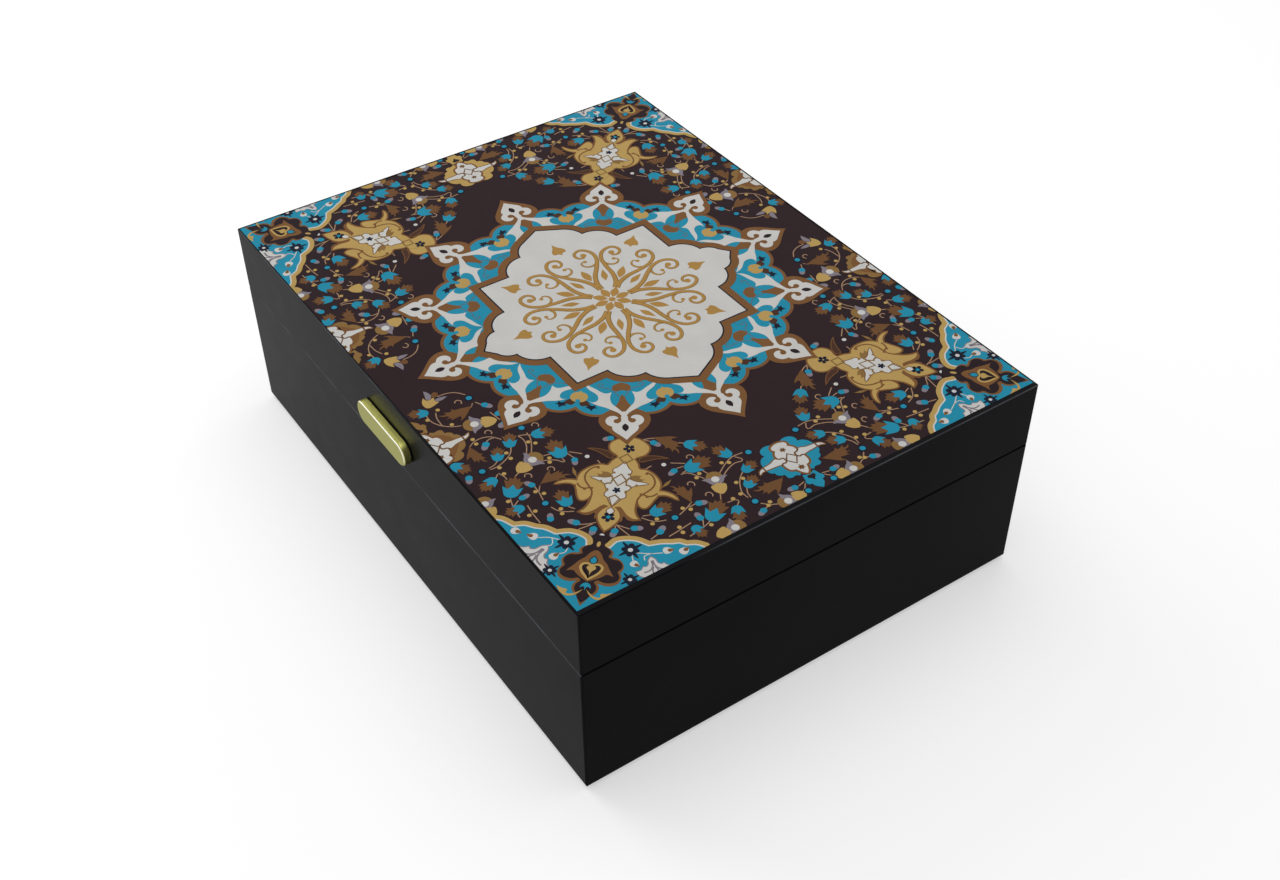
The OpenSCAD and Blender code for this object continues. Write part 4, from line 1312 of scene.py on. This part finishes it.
@dataclass
class LidPrint:
    """The illuminated sheet in the lid: a medallion, vines, palmettes and corners. Its sizes are in mm."""

    body: str = "lid"
    node: str = "lid_print_sheet"
    centre: Ends = (-1.6, 1.0)
    sheet: float = 0.06
    step: float = 0.007
    sink: float = 0.02
    rim: float = 0.05
    stem: float = 0.54
    stem_level: float = 1.6
    corner_stem: float = 0.5
    corner_stem_level: float = 19.5
    curl: float = 0.3
    curl_level: float = 4
    scrolls: tuple = ((17, SCROLL, 2.6), (16, SCROLL_TENDRIL, 1.5))
    scroll_taper: float = 0.45
    corner_rims: tuple = ((GOLD, 16, 0), (CREAM, 17, -2.1), (TURQUOISE, 18, -2.75))
    star_lobes: tuple = ((39.7, 17.8, 11.3), (8.5, 44.5, 10.5), (49.2, 5.0, 11.9), (2.2, 55.0, 7.1))
    star_tips: tuple = (((65.5, 0), (60, 10), (60, -10)), ((0, 65.3), (4.5, 61.7), (-4.5, 61.7)))
    star_block: Ends = (40.5, 44.2)
    star_rims: Ends = (4.2, 0.7)
    lobe_ring: float = 69.4
    lobe_turn: float = 6.4
    lobe_radii: Ends = (11.3, 9.8)
    sectors: int = 12
    arms: int = 8
    hook_turn: Ends = (0.5, 0.42)
    hook_radius: Ends = (1.9, 0.1)
    hook_points: int = 11
    work: InkWork = field(init=False)
    quarter: dict = field(init=False)
    whole: dict = field(init=False)

    def __post_init__(self) -> None:
        """Starts with no ink on the sheet."""
        self.work = InkWork(self.step, self.sink)
        self.quarter = defaultdict(list)
        self.whole = defaultdict(list)

    def draw(self, store: dict, motif: Motif, stations: Iterable[Station]) -> None:
        """Sets every ink of a motif on stations.

        Args:
            store: Where the meshes go, by pigment.
            motif: The ornament.
            stations: Its places.
        """
        for level, coat in enumerate(motif.coats, motif.base):
            if coat.width:
                mesh = self.work.strokes(coat.loops, coat.pigment, coat.width, level, coat.closed)
            else:
                mesh = self.work.plates(coat.loops, level)
            store[coat.pigment].append(self.work.scatter(mesh, motif.length, stations, coat.pigment))

    def ring(self, pigment: Pigment, sector: bpy.types.Mesh, count: int) -> None:
        """Repeats the ink of one sector round the middle of the sheet."""
        self.whole[pigment].append(self.work.grow(self.work.ring_tree, sector, pigment, Count=count))

    def star(self, grow: float) -> Loop:
        """Returns the outline of the cream star, grown outwards by so many mm."""
        lobes = [(sx * x, sy * y, r) for x, y, r in self.star_lobes for sx in (-1, 1) for sy in (-1, 1)]
        wide, tall = self.star_block
        block = [(wide, tall), (-wide, tall), (-wide, -tall), (wide, -tall)]
        tips = [[(s * x, s * y) for x, y in tip] for tip in self.star_tips for s in (-1, 1)]
        return ray_outline(lobes, [block, *tips], grow)

    def scallops(self, radius: float) -> Loop:
        """Returns the scalloped outline of the medallion's ring, with lobes of a radius."""
        lobes = [(0, 0, self.lobe_ring + 1)]
        for gap in range(self.sectors):
            for side in (-1, 1):
                turn = math.radians(360 / self.sectors * (gap + 0.5) + side * self.lobe_turn)
                lobes.append((self.lobe_ring * math.cos(turn), self.lobe_ring * math.sin(turn), radius))
        return ray_outline(lobes, [])

    def medallion(self) -> None:
        """Draws the scalloped ring with its palmettes, leaves and flowers, and the star in it."""
        edge, fill = self.lobe_radii
        band, line = self.star_rims
        for pigment, level, loop in (
            (BROWN, 1, self.scallops(edge)),
            (TURQUOISE, 2, self.scallops(fill)),
            (BROWN, 13, self.star(band)),
            (NAVY, 14, self.star(line)),
            (CREAM, 15, self.star(0)),
        ):
            self.whole[pigment].append(self.work.plates([loop], level))
        between = 180 / self.sectors
        for pigment, level, loops in (
            (BROWN, 3, [leaf(KNOP)]),
            (SEPIA, 5, turned(pair(FLAME), between)),
            (GOLD, 6, turned([leaf(BLOSSOM)], between)),
            (NAVY, 7, turned(pair(BOW), between)),
            (TURQUOISE, 8, turned([disc(0, 71.5, 1.1)], between)),
            (BROWN, 9, [leaf(CASE)]),
            (CREAM, 10, pair(RUMI)),
            (CREAM, 11, [leaf(PALM)]),
            (BROWN, 12, pair(COMMA)),
            (UMBER, 12, [leaf([(0, 85, TIP), (1.2, 86.4), (1.2, 88.3), (0, 89.9, TIP)])]),
        ):
            self.ring(pigment, self.work.plates(loops, level), self.sectors)
        curls = pair(CURL, closed=False)
        self.ring(BROWN, self.work.strokes(curls, BROWN, self.curl, self.curl_level), self.sectors)

    def arabesque(self) -> None:
        """Draws a plain gold rosette of scrolls in the middle of the star."""
        for level, path, width in self.scrolls:
            paths = flipped([curve_through(path, closed=False, steps=5)])
            lines = self.work.strokes(paths, GILT, width, level, taper=self.scroll_taper)
            self.ring(GILT, lines, self.arms)
        spade = leaf([(0, 41.6, TIP), (1, 43), (3.2, 43.6), (3, 46), (1.2, 48.4), (0, 51.4, TIP)])
        bud = leaf([(0, 16.6, TIP), (1.8, 20), (1.6, 22.6), (0, 26, TIP)])
        petal = leaf([(0, 1.8, TIP), (1.9, 4.8), (1.6, 6.8), (0, 9.4, TIP)])
        fins = turned([leaf([(0, 14.6, TIP), (1.5, 18), (1.2, 20), (0, 23.4, TIP)])], 180 / self.arms)
        dots = flipped([disc(7.7, 35.8, 1.5), disc(5.6, 31.1, 1, points=8)])
        self.ring(GILT, self.work.plates([spade, bud, petal, *fins, *dots], 18), self.arms)
        self.whole[GILT].append(self.work.plates([disc(0, 0, 1.6, points=16)], 19))

    def vines(self) -> None:
        """Draws the flowering vines of one quarter."""
        paths = [on_lid(stem) for stem in STEMS]
        steps = range(self.hook_points)
        turns = [self.hook_turn[0] + self.hook_turn[1] * step for step in steps]
        radii = [self.hook_radius[0] - self.hook_radius[1] * step for step in steps]
        for x, f in HOOKS:
            paths.append([Vector((x + r * math.cos(t), -f + r * math.sin(t))) for t, r in zip(turns, radii)])
        self.quarter[STEM].append(self.work.strokes(paths, STEM, self.stem, self.stem_level))
        for motif, stations in (
            (TULIP, TULIPS),
            (BUD, BUDS),
            (LILY, LILIES),
            (CROCUS, CROCUSES),
            (RIGHT_LEAF, RIGHT_LEAVES),
            (LEFT_LEAF, LEFT_LEAVES),
        ):
            self.draw(self.quarter, motif, stations)
        for motif, spots in ((BERRY, BERRIES), (BLUE_BERRY, BLUE_BERRIES), (PEARL, PEARLS)):
            self.draw(self.quarter, motif, [(x, f, x, f - 1) for x, f in spots])

    def palmettes(self) -> None:
        """Draws the palmettes on the diagonals and at the middle of the edges."""
        for motif in (FLOWER_UNDER, DIAGONAL):
            self.draw(self.quarter, motif, DIAGONALS)
        self.draw(self.quarter, side_palmette(OCHRE, BROWN), FRONT_SIDES)
        self.draw(self.whole, side_palmette(TURQUOISE, TURQUOISE), RIGHT_SIDE)
        self.draw(self.whole, side_palmette(GOLD, GOLD), LEFT_SIDE)

    def corners(self) -> None:
        """Draws the spandrels and what lies in them."""
        edge = on_lid(SPANDREL, closed=True)
        for pigment, level, inset in self.corner_rims:
            self.quarter[pigment].append(self.work.plates(swollen([edge], inset), level))
        paths = [on_lid(path) for path in SPANDREL_STEMS]
        lines = self.work.strokes(paths, CREAM, self.corner_stem, self.corner_stem_level)
        self.quarter[CREAM].append(lines)
        for motif, stations in ((CLOUD, CLOUDS), (SEED, SEEDS), (ROSETTE, ROSETTES), (CORNER_HEART, HEARTS)):
            self.draw(self.quarter, motif, stations)

    def piece(self, pigment: Pigment) -> None:
        """Joins all ink of a pigment, trims it at the sheet's edges and lays it in place."""
        low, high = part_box(self.node)
        one = finished(joined(self.quarter[pigment]), "quarter")
        four = self.work.grow(self.work.quarter_tree, one, pigment)
        form = joined([four, *self.whole[pigment]])
        form.transform(Matrix.Diagonal((MM, MM, MM, 1)))
        shift = (self.centre[0] * MM, self.centre[1] * MM, low.z + self.sheet * MM)
        form.transform(Matrix.Translation(shift))
        for axis in (0, 1):
            for edge, side in ((low, -1), (high, 1)):
                normal = Vector((0, 0, 0))
                normal[axis] = side
                self.cut(form, edge - normal * self.rim * MM, normal)
        for face in form.faces:
            face.material_index = 0
        bmesh.ops.recalc_face_normals(form, faces=form.faces)
        self.lay(form, pigment)

    @staticmethod
    def cut(form: bmesh.types.BMesh, spot: Vector, normal: Vector) -> None:
        """Cuts off all that lies beyond a plane and closes the cut ends.

        Args:
            form: Mesh to cut.
            spot: A point on the plane.
            normal: Direction of what is cut off.
        """
        parts = [*form.verts, *form.edges, *form.faces]
        bmesh.ops.bisect_plane(form, geom=parts, plane_co=spot, plane_no=normal, clear_outer=True, dist=1e-8)
        open_edges = [edge for edge in form.edges if edge.is_boundary]
        bmesh.ops.holes_fill(form, edges=open_edges, sides=0)

    def lay(self, form: bmesh.types.BMesh, pigment: Pigment) -> bpy.types.Object:
        """Turns a mesh in the making into a print piece that rides on the lid."""
        mesh = finished(form, f"print_{pigment.name.lower()}")
        mesh.materials.clear()
        mesh.materials.append(INKS[pigment].material())
        piece = put(mesh.name, mesh)
        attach(piece, self.body)
        LOG.info("%s: %d faces", piece.name, len(mesh.polygons))
        return piece

    def build(self) -> None:
        """Makes the sheet and all its ink."""
        low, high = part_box(self.node)
        x0, y0 = low.x / MM + self.rim, low.y / MM + self.rim
        x1, y1 = high.x / MM - self.rim, high.y / MM - self.rim
        form = joined([self.work.plates([[(x0, y0), (x1, y0), (x1, y1), (x0, y1)]], 0, -self.sheet)])
        form.transform(Matrix.Translation((0, 0, low.z + self.sheet * MM)) @ Matrix.Diagonal((MM, MM, MM, 1)))
        sheet = self.lay(form, GROUND)
        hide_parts(self.node)
        self.medallion()
        self.arabesque()
        self.vines()
        self.palmettes()
        self.corners()
        for pigment in Pigment:
            if self.quarter[pigment] or self.whole[pigment]:
                self.piece(pigment)


@dataclass
class CoveredBoards:
    """Boards wrapped in velvet, and the felt under the base, with soft rounded edges."""

    radius: float = 0.9 * MM
    felt_radius: float = 0.35 * MM
    pitch: float = 9 * MM
    hollow: float = 0.15 * MM
    felt_size: Ends = (0.292, 0.22)
    shares: tuple = (0.0, 0.3, 0.62, 1.0)
    waves: tuple = ((61, 1.3), (53, 0.4), (71, 2.1))

    def marks(self, low: float, high: float, radius: float) -> list[float]:
        """Returns places of grid lines on one axis: close together in the rounded ends.

        Args:
            low: Lower end.
            high: Upper end.
            radius: Rounding of the ends.

        Returns:
            The places, from low to high.
        """
        inner = max(1, math.ceil((high - low - 2 * radius) / self.pitch))
        middle = [low + radius + (high - low - 2 * radius) * step / inner for step in range(1, inner)]
        near = [low + radius * share for share in self.shares]
        return [*near, *middle, *[high - radius * share for share in reversed(self.shares)]]

    def board(self, node: str, radius: float, hollow: float) -> bpy.types.Mesh:
        """Makes a soft-edged board in the space of a CAD node.

        Args:
            node: The node.
            radius: Rounding of its edges.
            hollow: How far its broad faces sink between their edges.

        Returns:
            The closed mesh.
        """
        low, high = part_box(node)
        radius = min(radius, 0.45 * min(high - low))
        rows = [self.marks(low[axis], high[axis], radius) for axis in range(3)]
        form = bmesh.new()
        for axis in range(3):
            across, along = (axis + 1) % 3, (axis + 2) % 3
            for end in (low[axis], high[axis]):
                grid = []
                for a in rows[across]:
                    line = []
                    for b in rows[along]:
                        spot = Vector((0, 0, 0))
                        spot[axis], spot[across], spot[along] = end, a, b
                        line.append(form.verts.new(self.soften(spot, low, high, radius, hollow)))
                    grid.append(line)
                for i in range(len(grid) - 1):
                    for j in range(len(grid[0]) - 1):
                        form.faces.new((grid[i][j], grid[i + 1][j], grid[i + 1][j + 1], grid[i][j + 1]))
        bmesh.ops.remove_doubles(form, verts=form.verts, dist=0.01 * MM)
        bmesh.ops.recalc_face_normals(form, faces=form.faces)
        mesh = finished(form, f"{node}_cover")
        mesh.shade_smooth()
        return mesh

    def soften(self, spot: Vector, low: Vector, high: Vector, radius: float, hollow: float) -> Vector:
        """Rounds a point of a box's surface towards its edges and sinks it a little between them.

        Args:
            spot: The point.
            low: Lower corner of the box.
            high: Upper corner of the box.
            radius: Rounding of the edges.
            hollow: How far a point may sink.

        Returns:
            The moved point.
        """
        core = Vector([min(max(spot[i], low[i] + radius), high[i] - radius) for i in range(3)])
        out = (spot - core).normalized()
        wave = math.prod(math.sin(place * rate + start) for place, (rate, start) in zip(spot, self.waves))
        return core + out * (radius - hollow * (0.5 + 0.5 * wave))

    def cover(self, node: str, body: str, finish: Finish) -> None:
        """Replaces a soft CAD node with a covered board.

        Args:
            node: The node.
            body: Body that it moves with.
            finish: Its cloth.
        """
        felt = finish is FELT
        mesh = self.board(node, self.felt_radius if felt else self.radius, 0.0 if felt else self.hollow)
        mesh.materials.append(finish.material())
        piece = put(mesh.name, mesh)
        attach(piece, body)
        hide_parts(node)
        LOG.info("%s: %d faces", piece.name, len(mesh.polygons))


FINISHES = {"lacquer": LACQUER, "brass": BRASS, "steel": STEEL, "velvet": VELVET, "felt": FELT}


@dataclass
class Box:
    """The whole box: its CAD nodes, each with the finish of its slot, and the pieces made here."""

    frame: dict
    pull: str = "thumb_pull"

    def body_of(self, node: str) -> str:
        """Returns the name of the body that a node belongs to."""
        bodies = self.frame["record"]["behaviour"]["bodies"]
        return next(name for name, nodes in bodies.items() if node in nodes)

    def dress(self) -> None:
        """Finishes every node, covers the soft ones and lays the print."""
        boards = CoveredBoards()
        for part in self.frame["record"]["subparts"]:
            node, slot = part["node"], part["material_slot"]
            if slot in ("velvet", "felt"):
                boards.cover(node, self.body_of(node), FINISHES[slot])
            elif slot != "print":
                self.paint(self.frame["nodes"][node], PULL_BRASS if node == self.pull else FINISHES[slot])
        LidPrint().build()

    @staticmethod
    def paint(piece: bpy.types.Object, finish: Finish) -> None:
        """Gives a CAD node's object a finish."""
        piece.data.materials.clear()
        piece.data.materials.append(finish.material())
        LOG.info("%s: %s", piece.name, finish.name)


@dataclass
class Studio:
    """Floor, lights and camera. Places of the camera are in mm, those of the lamps in metres."""

    sky: float = 0.42
    floor_size: float = 8.0
    floor_grey: float = 0.62
    floor_glow: float = 0.48
    lamps: tuple = (
        ("overhead", (-0.2, 0.1, 1.7), (1.8, 1.4), 12.5),
        ("left_softbox", (-1.5, -0.5, 1.0), (1.2, 1.2), 10),
    )
    lamp_aim: tuple[float, float, float] = (0, 0, 0.05)
    lens: float = 44.683
    sensor: float = 36.0
    eye: tuple[float, float, float] = (480.25, -308.87, 525.04)
    aim: tuple[float, float, float] = (36.08, -10.11, 52.0)
    roll: float = -0.553

    @staticmethod
    def seen(wires: Wiring) -> Any:
        """Returns 1 where the camera, a reflection or a clear piece looks, and 0 for light itself."""
        path = wires.node("ShaderNodeLightPath")
        rays = [path[f"Is {kind} Ray"] for kind in ("Camera", "Glossy", "Transmission")]
        return wires.fold("MAXIMUM", *rays)

    def floor(self) -> None:
        """Lays a pale floor that keeps the object's shadow."""
        half = self.floor_size / 2
        mesh = bpy.data.meshes.new("floor")
        corners = [(-half, -half, 0), (half, -half, 0), (half, half, 0), (-half, half, 0)]
        mesh.from_pydata(corners, [], [(0, 1, 2, 3)])
        made = bpy.data.materials.new("floor")
        wires = Wiring.bare(made)
        grey = wires.node("ShaderNodeBsdfDiffuse", {"Color": (*[self.floor_grey] * 3, 1)})[0]
        glow = wires.fold("MULTIPLY", self.seen(wires), self.floor_glow)
        light = wires.node("ShaderNodeEmission", {"Strength": glow})[0]
        both = wires.node("ShaderNodeAddShader", {0: grey, 1: light})[0]
        wires.node("ShaderNodeOutputMaterial", {"Surface": both})
        mesh.materials.append(made)
        floor = put("floor", mesh)

    def sky_light(self) -> None:
        """Sets an even sky, which looks white to the camera."""
        world = bpy.data.worlds.new("studio")
        bpy.context.scene.world = world
        wires = Wiring.bare(world)
        light = wires.node("ShaderNodeBackground", {"Color": WHITE, "Strength": self.sky})[0]
        white = wires.node("ShaderNodeBackground", {"Color": WHITE, "Strength": 1.0})[0]
        mix = wires.node("ShaderNodeMixShader", {0: self.seen(wires), 1: light, 2: white})[0]
        wires.node("ShaderNodeOutputWorld", {"Surface": mix})

    def lamp(self, name: str, spot: tuple, size: tuple, power: float) -> None:
        """Hangs a soft lamp that faces the box.

        Args:
            name: Name of the lamp.
            spot: Its place in metres.
            size: Width and height in metres.
            power: Power in watts.
        """
        light = bpy.data.lights.new(name, "AREA")
        light.shape = "RECTANGLE"
        light.size, light.size_y = size
        light.energy = power
        holder = put(name, light)
        holder.location = spot
        holder.rotation_euler = (Vector(self.lamp_aim) - Vector(spot)).to_track_quat("-Z", "Y").to_euler()

    def camera(self) -> None:
        """Sets the camera at the photograph's viewing angle."""
        data = bpy.data.cameras.new("camera")
        data.sensor_fit = "HORIZONTAL"
        data.sensor_width = self.sensor
        data.lens = self.lens
        holder = put("camera", data)
        eye, aim = Vector(self.eye) * MM, Vector(self.aim) * MM
        look = (aim - eye).to_track_quat("-Z", "Y").to_matrix().to_4x4()
        roll = Matrix.Rotation(math.radians(self.roll), 4, "Z")
        holder.matrix_world = Matrix.Translation(eye) @ look @ roll
        bpy.context.scene.camera = holder

    def build(self) -> None:
        """Sets up everything around the box."""
        self.floor()
        self.sky_light()
        for lamp in self.lamps:
            self.lamp(*lamp)
        self.camera()
        bpy.context.scene.view_settings.view_transform = "Standard"


def main() -> None:
    """Builds the dressed box and its studio."""
    logging.basicConfig(level=logging.INFO, format="%(name)s %(message)s")
    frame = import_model()
    Studio().build()
    Box(frame).dress()


if __name__ == "__main__":
    main()
